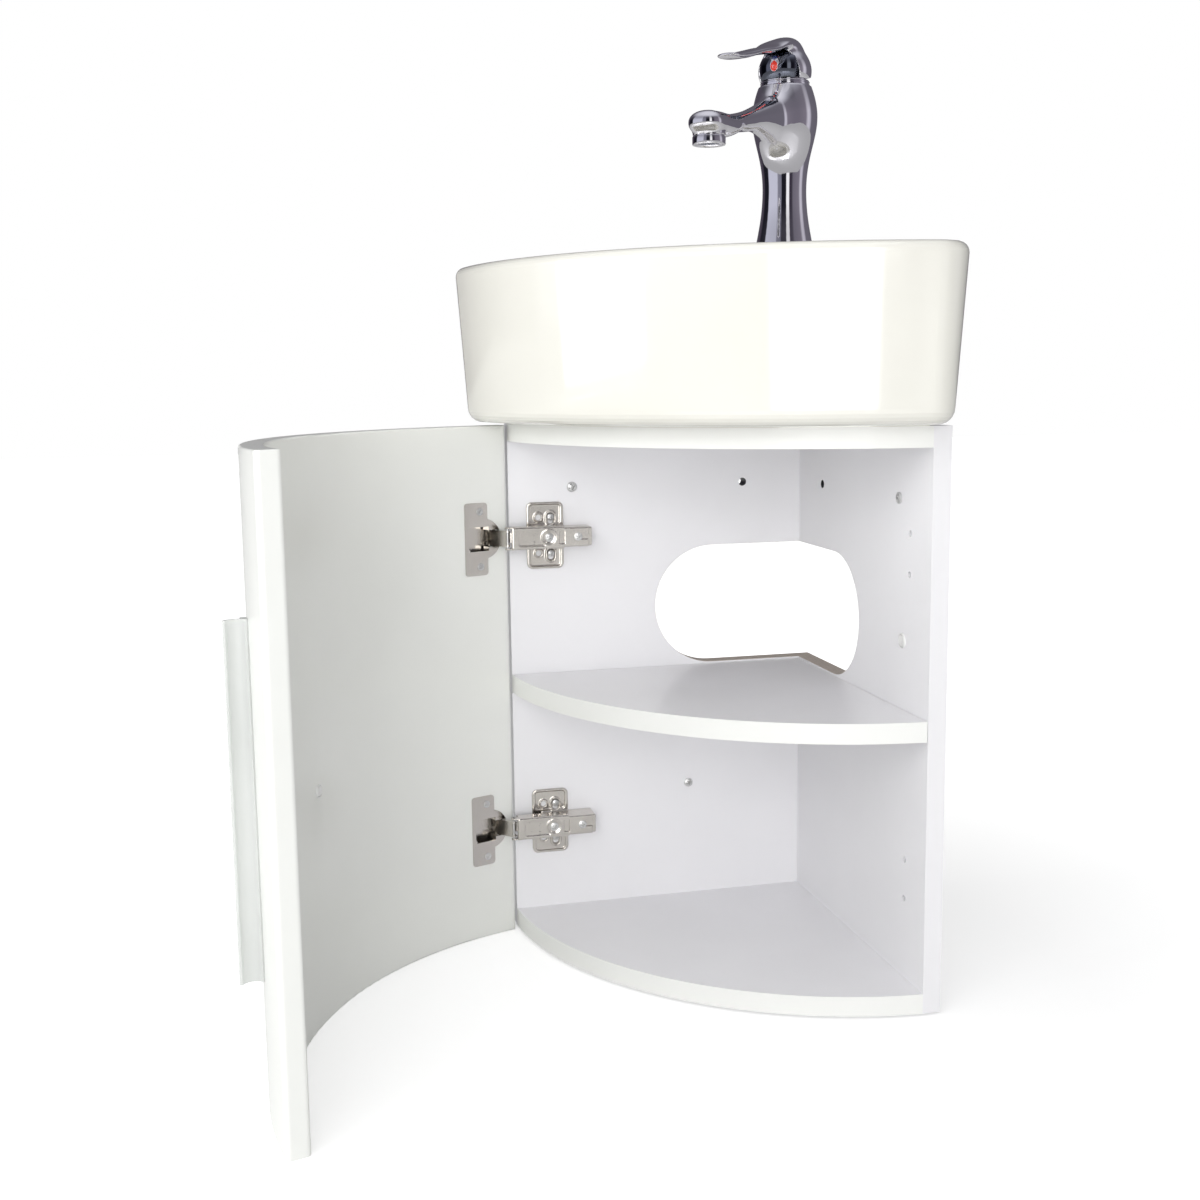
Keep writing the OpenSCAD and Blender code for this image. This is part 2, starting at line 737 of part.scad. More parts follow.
// the arm is a channel that lies over the mounting plate's ridge
module hinge_arm(z) {
    color("silver") translate([0, 0, z]) difference() {
        union() {
            for (s = [-1, 1]) translate([0, 0, s * (arm_w - arm_t) / 2 - arm_t / 2])
                linear_extrude(arm_t) {
                    translate([arm_x0, arm_top]) square([arm_x1 - arm_x0, arm_foot - arm_top]);
                    translate(arm_pin_a) circle(eye_r);
                    translate([arm_pin_a[0], arm_pin_a[1] - eye_r])
                        square([arm_x0 - arm_pin_a[0] + eps, 2 * eye_r]);
                }
            translate([arm_x0, arm_top, -arm_w / 2]) cube([arm_x1 - arm_x0, arm_t, arm_w]);
        }
        for (p = [arm_pin_a, arm_pin_b]) translate([p[0], p[1], -arm_w])
            cylinder(h = 2 * arm_w, r = hinge_pin_r + fit / 2);
        translate([arm_screw_x, arm_top - eps, 0]) rod_y(2 + fit, arm_t + 2 * eps);
        translate([arm_screw_x + 9.5, arm_top - eps, -5.5]) cube([3.5, arm_t + 2 * eps, 11]);
        translate([rear_screw_x, arm_top - eps, 0]) rod_y(2 + fit, arm_t + 2 * eps);
        translate([rear_screw_x, arm_top - eps, -2 - fit]) cube([far, arm_t + 2 * eps, 4 + 2 * fit]);
        translate([arm_x1 - 26, arm_foot - 7, -arm_w]) cube([far, far, 2 * arm_w]);
    }
}

module lower_hinge_arm() {
    hinge_arm(hinge_low_z);
}

module upper_hinge_arm() {
    hinge_arm(hinge_high_z);
}

module arm_pins() {
    color("silver") for (z = hinge_zs, p = [arm_pin_a, arm_pin_b])
        translate([p[0], p[1], z - arm_w / 2]) cylinder(h = arm_w, r = hinge_pin_r);
}

module arm_screws() {
    color("silver") for (z = hinge_zs) {
        translate([arm_screw_x, arm_top, z]) rod_y(2, arm_t + 6);
        translate([arm_screw_x, arm_top - 1.4, z]) rod_y(3.8, 1.4);
        translate([rear_screw_x, arm_top, z]) rod_y(2, arm_t + 6);
        translate([rear_screw_x, arm_top - 1.4, z]) rod_y(3.2, 1.4);
    }
}

// the plate screws to the panel, and its hollow ridge carries the arm
module mounting_plate(z) {
    r = 4;
    color("silver") translate([0, 0, z]) difference() {
        union() {
            translate([0, panel_face, 0]) rotate([90, 0, 0]) linear_extrude(plate_t) {
                for (x = [plate_x0 + r, plate_x1 - r], s = [-1, 1])
                    translate([x, s * (plate_h / 2 - r)]) circle(r);
                translate([plate_x0 + r, -plate_h / 2]) square([plate_x1 - plate_x0 - 2 * r, plate_h]);
                translate([plate_x0, -plate_h / 2 + r])
                    square([plate_x1 - plate_x0, plate_h - 2 * r]);
                translate([plate_x0 + r, -ridge_w / 2]) square([ridge_x1 - plate_x0 - r, ridge_w]);
            }
            translate([ridge_x0, roof_y, -ridge_w / 2])
                cube([ridge_x1 - ridge_x0, panel_face - roof_y, ridge_w]);
        }
        translate([ridge_x0 - eps, roof_y + ridge_t, -ridge_w / 2 + ridge_t])
            cube([ridge_x1 - ridge_x0 + 2 * eps, panel_face - plate_t - roof_y - ridge_t,
                ridge_w - 2 * ridge_t]);
        for (s = [-1, 1]) {
            translate([wing_hole_x, panel_face + eps, s * plate_pitch / 2]) mirror([0, 1, 0])
                rod_y(2.4, plate_t + 2 * eps);
            translate([wing_screw_x, panel_face + eps, s * plate_pitch / 2]) mirror([0, 1, 0])
                rod_y(small_screw_r + fit, plate_t + 2 * eps);
        }
        for (x = [arm_screw_x, rear_screw_x]) translate([x, roof_y - eps, 0])
            rod_y(2 + fit / 2, ridge_t + 2 * eps);
    }
}

module lower_mounting_plate() {
    mounting_plate(hinge_low_z);
}

module upper_mounting_plate() {
    mounting_plate(hinge_high_z);
}

module plate_screws() {
    color("silver") for (z = hinge_zs, s = [-1, 1])
        translate([wing_screw_x, panel_face - plate_t, z + s * plate_pitch / 2]) {
            rod_y(small_screw_r, plate_t + 10);
            translate([0, -1.2, 0]) rod_y(small_head_r, 1.2);
        }
}

// ---- basin ----
// A block whose sides are parallel to a chain of post centres and whose front is an arc
// about the back corner. The profile runs outwards from a post's axis, with z upwards.
module arc_block(reach, r, posts, profile, z0, z1) {
    last = len(posts) - 1;
    for (p = posts) translate([p[0], p[1], 0]) rotate_extrude() polygon(profile);
    for (i = [0:last - 1]) {
        span = posts[i + 1] - posts[i];
        translate([posts[i][0], posts[i][1], 0]) rotate(atan2(span[1], span[0])) rotate([90, 0, 90])
            linear_extrude(norm(span)) polygon(profile);
    }
    intersection() {
        rotate_extrude($fn = 180) union() {
            translate([reach - r, 0]) polygon(profile);
            translate([0, z0]) square([reach - r, z1 - z0]);
        }
        translate([0, 0, z0 - eps]) linear_extrude(z1 - z0 + 2 * eps) polygon(concat(posts,
            [2 * posts[last], [-2 * reach, -2 * reach], 2 * posts[0]]));
    }
}

// the end post where an arc of radius reach meets a side that lies off from the wall
function end_post(reach, r, off) = -[sqrt(pow(reach - r, 2) - pow(off + r, 2)), off + r];
function swapped(p) = [p[1], p[0]];

function outer_posts() = let (e = end_post(basin_reach, basin_corner_r, 0))
    [e, [-basin_corner_r, -basin_corner_r], swapped(e)];

function bowl_posts() = let (
    e = end_post(bowl_r, bowl_corner_r, bowl_wall),
    back = [-((tap_deck + bowl_corner_r) * sqrt(2) - bowl_wall - bowl_corner_r), e[1]])
    [e, back, swapped(back), swapped(e)];

function outer_profile() = let (r = basin_corner_r, x0 = r - basin_draft - foot_r) concat(
    [[0, basin_z0]],
    [for (a = [0:15:90]) [x0 + foot_r * sin(a), basin_z0 + foot_r * (1 - cos(a))]],
    [for (a = [0:15:90]) [r - lip_r * (1 - cos(a)), basin_z1 - lip_r * (1 - sin(a))]],
    [[0, basin_z1]]);

// the bowl's side is a quarter of an ellipse under a rounded edge
function bowl_profile() = let (r = bowl_corner_r) concat(
    [for (i = [0:bowl_steps]) let (a = 90 - 90 * i / bowl_steps)
        [r * cos(a), basin_z1 - bowl_lip - (bowl_depth - bowl_lip) * sin(a)]],
    [for (a = [30:30:90]) [r + bowl_lip * (1 - cos(a)), basin_z1 - bowl_lip * (1 - sin(a))]],
    [[r + bowl_lip, basin_z1 + eps], [0, basin_z1 + eps]]);

// a straight-sided quarter round under the basin, set in from its front and its wall sides
module quarter_block(front, side, z0, z1) {
    intersection() {
        translate([0, 0, z0]) cylinder(h = z1 - z0, r = basin_reach - front, $fn = 180);
        translate([-far - side, -far - side, z0 - eps]) cube([far, far, z1 - z0 + 2 * eps]);
    }
}

// everything in front of a diagonal line at a distance from the back corner
module before_diagonal(d, z0, z1) {
    rotate(45) translate([-far - d, -far, z0]) cube([far, 2 * far, z1 - z0]);
}

// the room under the deck, round the bowl and down to the open foot
module basin_cavity() {
    wall = china_t + basin_draft;
    end = (tap_deck - china_t) * sqrt(2) - wall;
    difference() {
        union() {
            quarter_block(wall, wall, ledge_z, shoulder_z);
            quarter_block(foot_inset + 20, foot_side + china_t, cab_h - eps, ledge_z + eps);
            translate([0, 0, ledge_z + eps]) linear_extrude(deck_z - ledge_z - eps)
                polygon([[-wall, -wall], [-wall, -end], [-end, -wall]]);
        }
        intersection() {
            quarter_block(rim_w + 1, bowl_wall + 1, bowl_z - china_t, shoulder_z + eps);
            before_diagonal(tap_deck + 1, bowl_z - china_t - eps, shoulder_z + 2 * eps);
        }
        translate([-drain_d, -drain_d, ledge_z + 2 * eps]) cylinder(h = bowl_z - ledge_z, r = drain_r + 11);
    }
}

module basin() {
    color("ivory") difference() {
        union() {
            arc_block(basin_reach, basin_corner_r, outer_posts(), outer_profile(), basin_z0, basin_z1);
            quarter_block(foot_inset, foot_side, cab_h, basin_z0 + 1);
        }
        arc_block(bowl_r, bowl_corner_r, bowl_posts(), bowl_profile(), bowl_z, basin_z1 + eps);
        basin_cavity();
        translate([-drain_d, -drain_d, cab_h]) cylinder(h = basin_h, r = drain_r);
        translate([-drain_d, -drain_d, bowl_z - 3]) cylinder(h = 3 + eps, r = drain_r + 9);
        translate([-tap_d, -tap_d, deck_z - eps]) cylinder(h = china_t + 2 * eps, r = tap_hole_r);
    }
}

// ---- tap ----
module tap_gasket() {
    color("dimgray") on_tap() translate([0, 0, basin_z1]) difference() {
        cylinder(h = tap_z - basin_z1, r = tap_foot_r - 0.5);
        translate([0, 0, -eps]) cylinder(h = 4, r = tap_hole_r);
    }
}

// the body's outline: foot, waist, bulge and neck joined by smooth curves
function tap_outline() = let (
    rs = [tap_foot_r, tap_waist_r, tap_bulge_r, tap_neck_r],
    hs = [0, tap_waist_h, tap_bulge_h, tap_body_h],
    steps = 7) concat(
    [[0, 0]],
    [for (k = [0:2], i = [0:steps - 1]) [ease(rs[k], rs[k + 1], i / steps),
        hs[k] + (hs[k + 1] - hs[k]) * i / steps]],
    [[rs[3], hs[3]], [0, hs[3]]]);

module spout() {
    turn = asin((spout_reach - spout_start) / spout_arc_r);
    translate([0, 0, spout_z]) rotate([0, 90, 0])
        cylinder(h = spout_root, r1 = spout_r + 8, r2 = spout_r - 1.5);
    translate([spout_start, 0, spout_z - spout_arc_r]) rotate([90, 0, 0]) rotate(90 - turn)
        rotate_extrude(angle = turn) translate([spout_arc_r, 0]) circle(spout_r, $fn = 48);
    translate([spout_reach, 0, aerator_z0 + aerator_h]) {
        cylinder(h = 4, r = aerator_r);
        translate([0, 0, 4]) intersection() {
            sphere(aerator_r);
            translate([-aerator_r, -aerator_r, 0]) cube(2 * aerator_r);
        }
    }
}

module tap_body() {
    color("silver") on_tap() difference() {
        union() {
            translate([0, 0, tap_z]) rotate_extrude() polygon(tap_outline());
            spout();
        }
        translate([0, 0, cartridge_z0 - fit]) cylinder(h = 60, r = cartridge_r + fit);
        translate([stud_side, 0, tap_z - eps]) cylinder(h = 20 + eps, r = stud_r + fit / 2);
        for (s = [-1, 1]) translate([-6, s * 7.5, tap_z - eps]) cylinder(h = 14, r = 4.5);
        translate([spout_reach, 0, aerator_z0]) cylinder(h = aerator_h + 4, r = 8);
        translate([spout_reach, 0, aerator_z0 - far]) cylinder(h = far + aerator_h, r = aerator_r + 2);
    }
}

module tap_aerator() {
    color("silver") on_tap() translate([spout_reach, 0, aerator_z0]) difference() {
        union() {
            cylinder(h = aerator_h, r = aerator_r);
            cylinder(h = aerator_h + 3, r = 8 - fit);
        }
        translate([0, 0, -eps]) cylinder(h = 4 + eps, r = 9);
    }
}

module tap_stud() {
    color("goldenrod") on_tap() translate([stud_side, 0, deck_z - 40])
        cylinder(h = tap_z + 18 - deck_z + 40, r = stud_r);
}

// a horseshoe washer leaves room for the two inlets
module tap_washer() {
    color("silver") on_tap() translate([0, 0, deck_z - 3]) linear_extrude(3) difference() {
        circle(tap_hole_r + 2.5);
        translate([-far, -11.5]) square([far + 1.5, 23]);
        translate([stud_side, 0]) circle(stud_r + 0.4);
    }
}

module tap_nut() {
    color("goldenrod") on_tap() translate([stud_side, 0, deck_z - 12]) difference() {
        cylinder(h = 9, r = 7.5, $fn = 6);
        translate([0, 0, -eps]) cylinder(h = 9 + 2 * eps, r = stud_r + fit / 2);
    }
}

module tap_cartridge() {
    color("white") on_tap() {
        translate([0, 0, cartridge_z0]) cylinder(h = tap_top - 1 - cartridge_z0, r = cartridge_r);
        cylinder_between(tap_top - 1, tap_top + bonnet_h, 9);
    }
}

module cylinder_between(z0, z1, r) {
    translate([0, 0, z0]) cylinder(h = z1 - z0, r = r);
}

// the bonnet's stepped rings over the neck
module tap_bonnet() {
    color("silver") on_tap() difference() {
        union() {
            cylinder_between(tap_top, tap_top + bonnet_h, bonnet_r - 0.8);
            for (z = [0.4, 2.5]) cylinder_between(tap_top + z, tap_top + z + 1.6, bonnet_r);
        }
        cylinder_between(tap_top - eps, tap_top + bonnet_h + eps, 9 + fit);
    }
}

module tap_dome() {
    color("slategray") on_tap() difference() {
        intersection() {
            translate([0, 0, cap_z0]) sphere(dome_r, $fn = 96);
            cylinder_between(dome_z0, dome_z0 + 60, 60);
        }
        intersection() {
            translate([0, 0, cap_z0]) sphere(dome_hollow_r);
            cylinder_between(dome_z0 + 2.5, dome_z0 + 60, 60);
        }
        translate([-spindle_r - 1 - dome_r * sin(lever_lift), -spindle_r - 0.6, cap_z0])
            cube([2 * spindle_r + 2 + dome_r * sin(lever_lift), 2 * spindle_r + 1.2, 40]);
        translate([0, -far / 2, cap_z0]) rod_y(tilt_pin_r + fit / 2, far);
        translate([0, 0, cap_z0 - 3]) rotate([0, 90, 0]) {
            cylinder_between(dome_r - 3, dome_r, 2 + fit);
            cylinder_between(dome_r - 1, dome_r + eps, 3.2 + fit);
        }
    }
}

module tap_indicator() {
    color("red") on_tap() translate([0, 0, cap_z0 - 3]) rotate([0, 90, 0]) {
        cylinder_between(dome_r - 3 + fit, dome_r, 2);
        cylinder_between(dome_r - 1 + fit, dome_r + 0.8, 3.2);
    }
}

module tap_tilt_pin() {
    color("silver") on_tap() translate([0, -(dome_r - 1), cap_z0]) rod_y(tilt_pin_r, 2 * (dome_r - 1));
}

module tap_spindle() {
    color("silver") on_tap() translate([0, 0, cap_z0]) difference() {
        union() {
            sphere(ball_r);
            cylinder(h = dome_r + 2, r = spindle_r);
        }
        translate([0, -far / 2, 0]) rod_y(tilt_pin_r + pin_play, far);
    }
}

// the lever's blade seen from the side, from the cap to the tip
module blade_side() {
    tip_z = cap_z0 - 8;
    top_z = cap_z0 + lever_cap_r + 1.5;
    polygon([[-6, cap_z0 + 12], [-6, top_z - 2], [3, top_z], [12, top_z - 1.6], [36, cap_z0 + 12],
        [60, cap_z0 + 6], [lever_reach - 2, tip_z + 0.8], [lever_reach, tip_z - 0.6],
        [lever_reach - 3, tip_z - 2], [lever_reach - 27, cap_z0 - 9], [55, cap_z0],
        [18, cap_z0 + 9]]);
}

// the lever's hood goes round the dome's back and sides and is cut off below so that it can tilt
module lever_hood() {
    difference() {
        intersection() {
            translate([0, 0, cap_z0]) sphere(lever_cap_r, $fn = 96);
            cylinder_between(dome_z0 + 0.2, cap_z0 + 60, 60);
        }
        translate([lever_cap_r / 2, -40, cap_z0 - 30]) cube([60, 80, 38]);
        translate([0, 0, dome_z0 + 0.2]) rotate([0, lever_lift, 0]) translate([-60, -40, -60])
            cube([60, 80, 60]);
    }
}

module tap_lever() {
    color("silver") on_tap() difference() {
        union() {
            lever_hood();
            intersection() {
                rotate([90, 0, 0]) translate([0, 0, -30]) linear_extrude(60) blade_side();
                blade_plan();
            }
        }
        translate([0, 0, cap_z0]) sphere(dome_r + run_gap, $fn = 96);
        translate([0, 0, cap_z0]) cylinder(h = dome_r + 2.4, r = spindle_r + fit / 2);
    }
}

// the lever's outline from above: it narrows to a round tip
module blade_plan() {
    translate([0, 0, cap_z0 - 20]) linear_extrude(60) {
        polygon([[-6, -9], [-6, 9], [14, 15], [lever_reach - lever_tip_r, lever_tip_r],
            [lever_reach - lever_tip_r, -lever_tip_r], [14, -15]]);
        translate([lever_reach - lever_tip_r, 0]) circle(lever_tip_r);
    }
}

left_panel();
right_panel();
bottom_board();
shelf();
top_board();
shelf_pins();
assembly_screws();
wall_bolts();
low_screw();
cover_cap();
door();
door_handle();
handle_screws();
door_cap();
lower_hinge_cup();
upper_hinge_cup();
cup_screws();
cup_pins();
lower_outer_link();
upper_outer_link();
lower_inner_link();
upper_inner_link();
lower_hinge_arm();
upper_hinge_arm();
arm_pins();
arm_screws();
lower_mounting_plate();
upper_mounting_plate();
plate_screws();
basin();
tap_gasket();
tap_body();
tap_aerator();
tap_stud();
tap_washer();
tap_nut();
tap_cartridge();
tap_bonnet();
tap_dome();
tap_indicator();
tap_tilt_pin();
tap_spindle();
tap_lever();
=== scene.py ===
import json
import math

import bpy
import numpy as np
from mathutils import Matrix, Vector

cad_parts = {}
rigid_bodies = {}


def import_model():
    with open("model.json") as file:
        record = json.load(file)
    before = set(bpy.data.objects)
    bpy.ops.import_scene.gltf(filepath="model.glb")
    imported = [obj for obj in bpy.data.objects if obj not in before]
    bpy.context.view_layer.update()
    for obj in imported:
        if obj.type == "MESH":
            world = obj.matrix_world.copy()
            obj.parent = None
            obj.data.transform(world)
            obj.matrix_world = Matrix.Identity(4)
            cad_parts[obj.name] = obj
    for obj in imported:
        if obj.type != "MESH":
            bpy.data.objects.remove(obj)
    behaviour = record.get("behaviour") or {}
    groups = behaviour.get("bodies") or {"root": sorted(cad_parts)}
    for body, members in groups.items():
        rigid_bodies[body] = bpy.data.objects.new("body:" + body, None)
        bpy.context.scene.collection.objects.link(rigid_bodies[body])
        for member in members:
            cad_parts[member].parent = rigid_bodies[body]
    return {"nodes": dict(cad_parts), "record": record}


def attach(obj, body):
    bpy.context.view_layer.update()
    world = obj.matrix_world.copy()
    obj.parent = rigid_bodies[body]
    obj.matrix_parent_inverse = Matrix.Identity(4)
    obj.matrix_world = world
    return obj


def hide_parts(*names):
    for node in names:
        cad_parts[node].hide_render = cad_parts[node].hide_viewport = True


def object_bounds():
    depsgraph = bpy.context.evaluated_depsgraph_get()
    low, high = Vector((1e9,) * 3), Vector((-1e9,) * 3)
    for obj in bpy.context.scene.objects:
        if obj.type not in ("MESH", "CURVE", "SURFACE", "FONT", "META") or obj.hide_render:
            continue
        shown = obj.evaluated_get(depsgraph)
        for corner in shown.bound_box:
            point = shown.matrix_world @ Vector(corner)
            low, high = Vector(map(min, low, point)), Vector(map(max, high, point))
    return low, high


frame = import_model()
NODES = frame["nodes"]
low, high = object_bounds()
MM = 0.001
STAGE_MIDDLE = (-0.2, -0.2, 0.3)

# ---------------------------------------------------------------- camera and studio
# the viewpoint that fits the cabinet's edges
CAM_PLACE = (-0.510388, -1.29417, 0.496715)
YAW, PITCH, ROLL = math.radians(13.728), math.radians(8.291), math.radians(-0.696)
FWD = Vector((
    math.sin(YAW) * math.cos(PITCH), math.cos(YAW) * math.cos(PITCH), -math.sin(PITCH),
))
SIDE = Vector((math.cos(YAW), -math.sin(YAW), 0.0))
RISE = SIDE.cross(FWD)
CAM_X = SIDE * math.cos(ROLL) + RISE * math.sin(ROLL)
CAM_Y = RISE * math.cos(ROLL) - SIDE * math.sin(ROLL)

cam_data = bpy.data.cameras.new("camera")
cam = bpy.data.objects.new("camera", cam_data)
bpy.context.scene.collection.objects.link(cam)
cam.matrix_world = Matrix.Translation(CAM_PLACE) @ Matrix(
    (
        (CAM_X.x, CAM_Y.x, -FWD.x, 0.0),
        (CAM_X.y, CAM_Y.y, -FWD.y, 0.0),
        (CAM_X.z, CAM_Y.z, -FWD.z, 0.0),
        (0.0, 0.0, 0.0, 1.0),
    )
)
cam_data.sensor_width = 36.0
cam_data.lens = 44.4
cam_data.shift_x = -0.0063
cam_data.shift_y = -0.0075
cam_data.clip_start = 0.01
bpy.context.scene.camera = cam


def link(obj):
    bpy.context.scene.collection.objects.link(obj)
    return obj


def area_light(name, place, size, power):
    """A square lamp that looks at the middle of the unit. size is in metres, power in watts."""
    data = bpy.data.lights.new(name, "AREA")
    data.shape = "RECTANGLE"
    data.size = size
    data.size_y = size
    data.energy = power
    obj = link(bpy.data.objects.new(name, data))
    obj.location = place
    obj.rotation_euler = (Vector(STAGE_MIDDLE) - Vector(place)).to_track_quat("-Z", "Y").to_euler()
    return obj


# ---------------------------------------------------------------- node materials
def new_material(name):
    mat = bpy.data.materials.new(name)
    mat.use_nodes = True
    tree = mat.node_tree
    tree.nodes.clear()
    out = tree.nodes.new("ShaderNodeOutputMaterial")
    bsdf = tree.nodes.new("ShaderNodeBsdfPrincipled")
    tree.links.new(bsdf.outputs[0], out.inputs[0])
    return mat, tree, bsdf


def place_coords(tree):
    """Object coordinates, which are the part's frame in metres."""
    return tree.nodes.new("ShaderNodeTexCoord").outputs["Object"]


def noise(tree, vector, scale, detail=3.0, rough=0.5):
    n = tree.nodes.new("ShaderNodeTexNoise")
    n.inputs["Scale"].default_value = scale
    n.inputs["Detail"].default_value = detail
    n.inputs["Roughness"].default_value = rough
    tree.links.new(vector, n.inputs["Vector"])
    return n.outputs["Fac"]


def ramp(tree, value, stops):
    """A colour ramp through (position, colour) stops."""
    r = tree.nodes.new("ShaderNodeValToRGB")
    el = r.color_ramp.elements
    while len(el) < len(stops):
        el.new(0.5)
    for e, (pos, col) in zip(el, stops):
        e.position = pos
        e.color = (*col, 1.0)
    tree.links.new(value, r.inputs[0])
    return r.outputs[0]


def map_range(tree, value, lo, hi, to_lo, to_hi):
    n = tree.nodes.new("ShaderNodeMapRange")
    n.inputs["From Min"].default_value = lo
    n.inputs["From Max"].default_value = hi
    n.inputs["To Min"].default_value = to_lo
    n.inputs["To Max"].default_value = to_hi
    tree.links.new(value, n.inputs["Value"])
    return n.outputs["Result"]


def math_node(tree, kind, a, b=0.0):
    n = tree.nodes.new("ShaderNodeMath")
    n.operation = kind
    for slot, value in zip(n.inputs, (a, b)):
        if isinstance(value, (int, float)):
            slot.default_value = value
        else:
            tree.links.new(value, slot)
    return n.outputs[0]


def mix_colour(tree, factor, a, b):
    n = tree.nodes.new("ShaderNodeMix")
    n.data_type = "RGBA"
    tree.links.new(factor, n.inputs[0])
    for slot, value in ((n.inputs[6], a), (n.inputs[7], b)):
        if isinstance(value, tuple):
            slot.default_value = (*value, 1.0)
        else:
            tree.links.new(value, slot)
    return n.outputs[2]


def bump(tree, bsdf, height, strength, distance):
    n = tree.nodes.new("ShaderNodeBump")
    n.inputs["Strength"].default_value = strength
    n.inputs["Distance"].default_value = distance
    tree.links.new(height, n.inputs["Height"])
    tree.links.new(n.outputs[0], bsdf.inputs["Normal"])


BUMP_HEIGHT = 0.0004
COAT_ROUGH = 0.08


def painted(name, dark, light, rough, grain, depth, coat=0.0, spread=0.06, metallic=0.0,
            zones=()):
    """A finish whose colour and gloss vary a little, with a fine bump unless depth is 0.

    Each zone is a mask, two colours and the noise between them. On the lacquer, rough less spread
    stays above 0.28, because blotches showed on it with less.
    """
    mat, tree, bsdf = new_material(name)
    co = place_coords(tree)
    broad = noise(tree, co, 9.0, 4.0)
    colour = ramp(tree, broad, [(0.35, dark), (0.65, light)])
    fine = noise(tree, co, grain, 3.0, 0.6)
    for mask, low_colour, high_colour, pattern in zones:
        other = ramp(tree, noise(tree, co, *pattern), [(0.35, low_colour), (0.65, high_colour)])
        colour = mix_colour(tree, mask(tree, co), colour, other)
    tree.links.new(colour, bsdf.inputs["Base Color"])
    gloss = map_range(tree, fine if depth else broad, 0.3, 0.7, rough - spread, rough + spread)
    tree.links.new(gloss, bsdf.inputs["Roughness"])
    bsdf.inputs["Metallic"].default_value = metallic
    bsdf.inputs["Coat Weight"].default_value = coat
    bsdf.inputs["Coat Roughness"].default_value = COAT_ROUGH
    if depth:
        bump(tree, bsdf, fine, depth, BUMP_HEIGHT)
    return mat


def squares(tree, a, b):
    """a squared plus b squared."""
    return math_node(tree, "ADD", math_node(tree, "MULTIPLY", a, a),
                     math_node(tree, "MULTIPLY", b, b))


def separate(tree, co):
    """The three coordinates of a point."""
    xyz = tree.nodes.new("ShaderNodeSeparateXYZ")
    tree.links.new(co, xyz.inputs[0])
    return xyz.outputs


def from_line(tree, co, mid):
    """The squared distance from the vertical line through mid."""
    xyz = separate(tree, co)
    return squares(tree, math_node(tree, "SUBTRACT", xyz[0], mid[0]),
                   math_node(tree, "SUBTRACT", xyz[1], mid[1]))


# how far past a wall's nominal place its mask reaches, in metres
SLOT_REACH, BORE_REACH, DOOR_REACH = 0.0002, 0.00015, 0.0006

# the pipe cut-out: middle height, radius and where its round end starts
SLOT_Z, SLOT_R, SLOT_X = 0.289, 0.054, 0.0995


def slot_wall(axis):
    """1 on the sawn wall of the pipe cut-out in the panel that runs along the axis."""
    def mask(tree, co):
        xyz = separate(tree, co)
        inward = math_node(tree, "MULTIPLY", xyz[axis], -1.0)
        along = math_node(tree, "MAXIMUM", math_node(tree, "SUBTRACT", inward, SLOT_X), 0.0)
        up = math_node(tree, "SUBTRACT", xyz[2], SLOT_Z)
        return math_node(tree, "LESS_THAN", squares(tree, along, up), (SLOT_R + SLOT_REACH) ** 2)
    return mask


# the bore for the wall screw: its distance from the corner, height and radius
BORE_D, BORE_Z, BORE_R = 0.0705, 0.3995, 0.0035


def bore_wall(axis):
    """1 inside the wall screw's bore in the panel that runs along the axis."""
    def mask(tree, co):
        xyz = separate(tree, co)
        along = math_node(tree, "ADD", xyz[axis], BORE_D)
        up = math_node(tree, "SUBTRACT", xyz[2], BORE_Z)
        return math_node(tree, "LESS_THAN", squares(tree, along, up), (BORE_R + BORE_REACH) ** 2)
    return mask


# the door's arc: its centre at rest and the radius of its inner face
DOOR_ARC, DOOR_IN_R = (-0.19931, -0.3030), 0.29730


def door_inside(tree, co):
    """1 on the door's inner face, which is painted a little greyer than the lacquer outside as
    painted shade.
    """
    away = from_line(tree, co, DOOR_ARC)
    return math_node(tree, "LESS_THAN", away, (DOOR_IN_R + DOOR_REACH) ** 2)


# the boards' front arc: its centre, and the radius beyond which the edge is coloured whiter
BAND_ARC, BAND_R = (0.008, 0.008), 0.2949


def front_edge(tree, co):
    """1 on a board's round front edge, which is coloured whiter than its faces."""
    return math_node(tree, "GREATER_THAN", from_line(tree, co, BAND_ARC), BAND_R ** 2)


BOARD = ((0.87, 0.865, 0.885), (0.895, 0.89, 0.91), 0.42, 900.0, 0.05, 0.15)
SAWN = ((0.46, 0.40, 0.34), (0.64, 0.57, 0.50), (700.0, 6.0, 0.7))
SHADE = ((0.015, 0.015, 0.018), (0.04, 0.04, 0.045), (900.0, 4.0, 0.6))
FRONT_EDGE_WHITER = ((0.90, 0.905, 0.88), (0.92, 0.925, 0.90), (9.0, 4.0, 0.5))
# painted shade: the door's inner face, a little darker and yellower than the lacquer outside
INNER_FACE_SHADE = ((0.83, 0.84, 0.805), (0.86, 0.87, 0.835), (6.0, 3.0, 0.5))
MELAMINE = painted("melamine", *BOARD)
MELAMINE_L = painted("melamine_left", *BOARD,
                     zones=[(slot_wall(0), *SAWN), (bore_wall(0), *SHADE)])
MELAMINE_R = painted("melamine_right", *BOARD,
                     zones=[(slot_wall(1), *SAWN), (bore_wall(1), *SHADE)])
MELAMINE_E = painted("melamine_whiter_edge", *BOARD, zones=[(front_edge, *FRONT_EDGE_WHITER)])
LACQUER = painted("lacquer", (0.86, 0.87, 0.84), (0.875, 0.885, 0.855), 0.31, 90.0, 0.0, 0.25, 0.02,
                  zones=[(door_inside, *INNER_FACE_SHADE)])
IVORY = painted("ivory_glaze", (0.80, 0.79, 0.73), (0.82, 0.81, 0.75), 0.08, 60.0, 0.03, 0.6, 0.02)
SATIN = painted("satin_handle", (0.60, 0.615, 0.60), (0.65, 0.665, 0.65), 0.35, 1200.0, 0.03, 0.2)
PLASTIC = painted("plastic_cap", (0.78, 0.78, 0.77), (0.84, 0.84, 0.83), 0.35, 1500.0, 0.04)
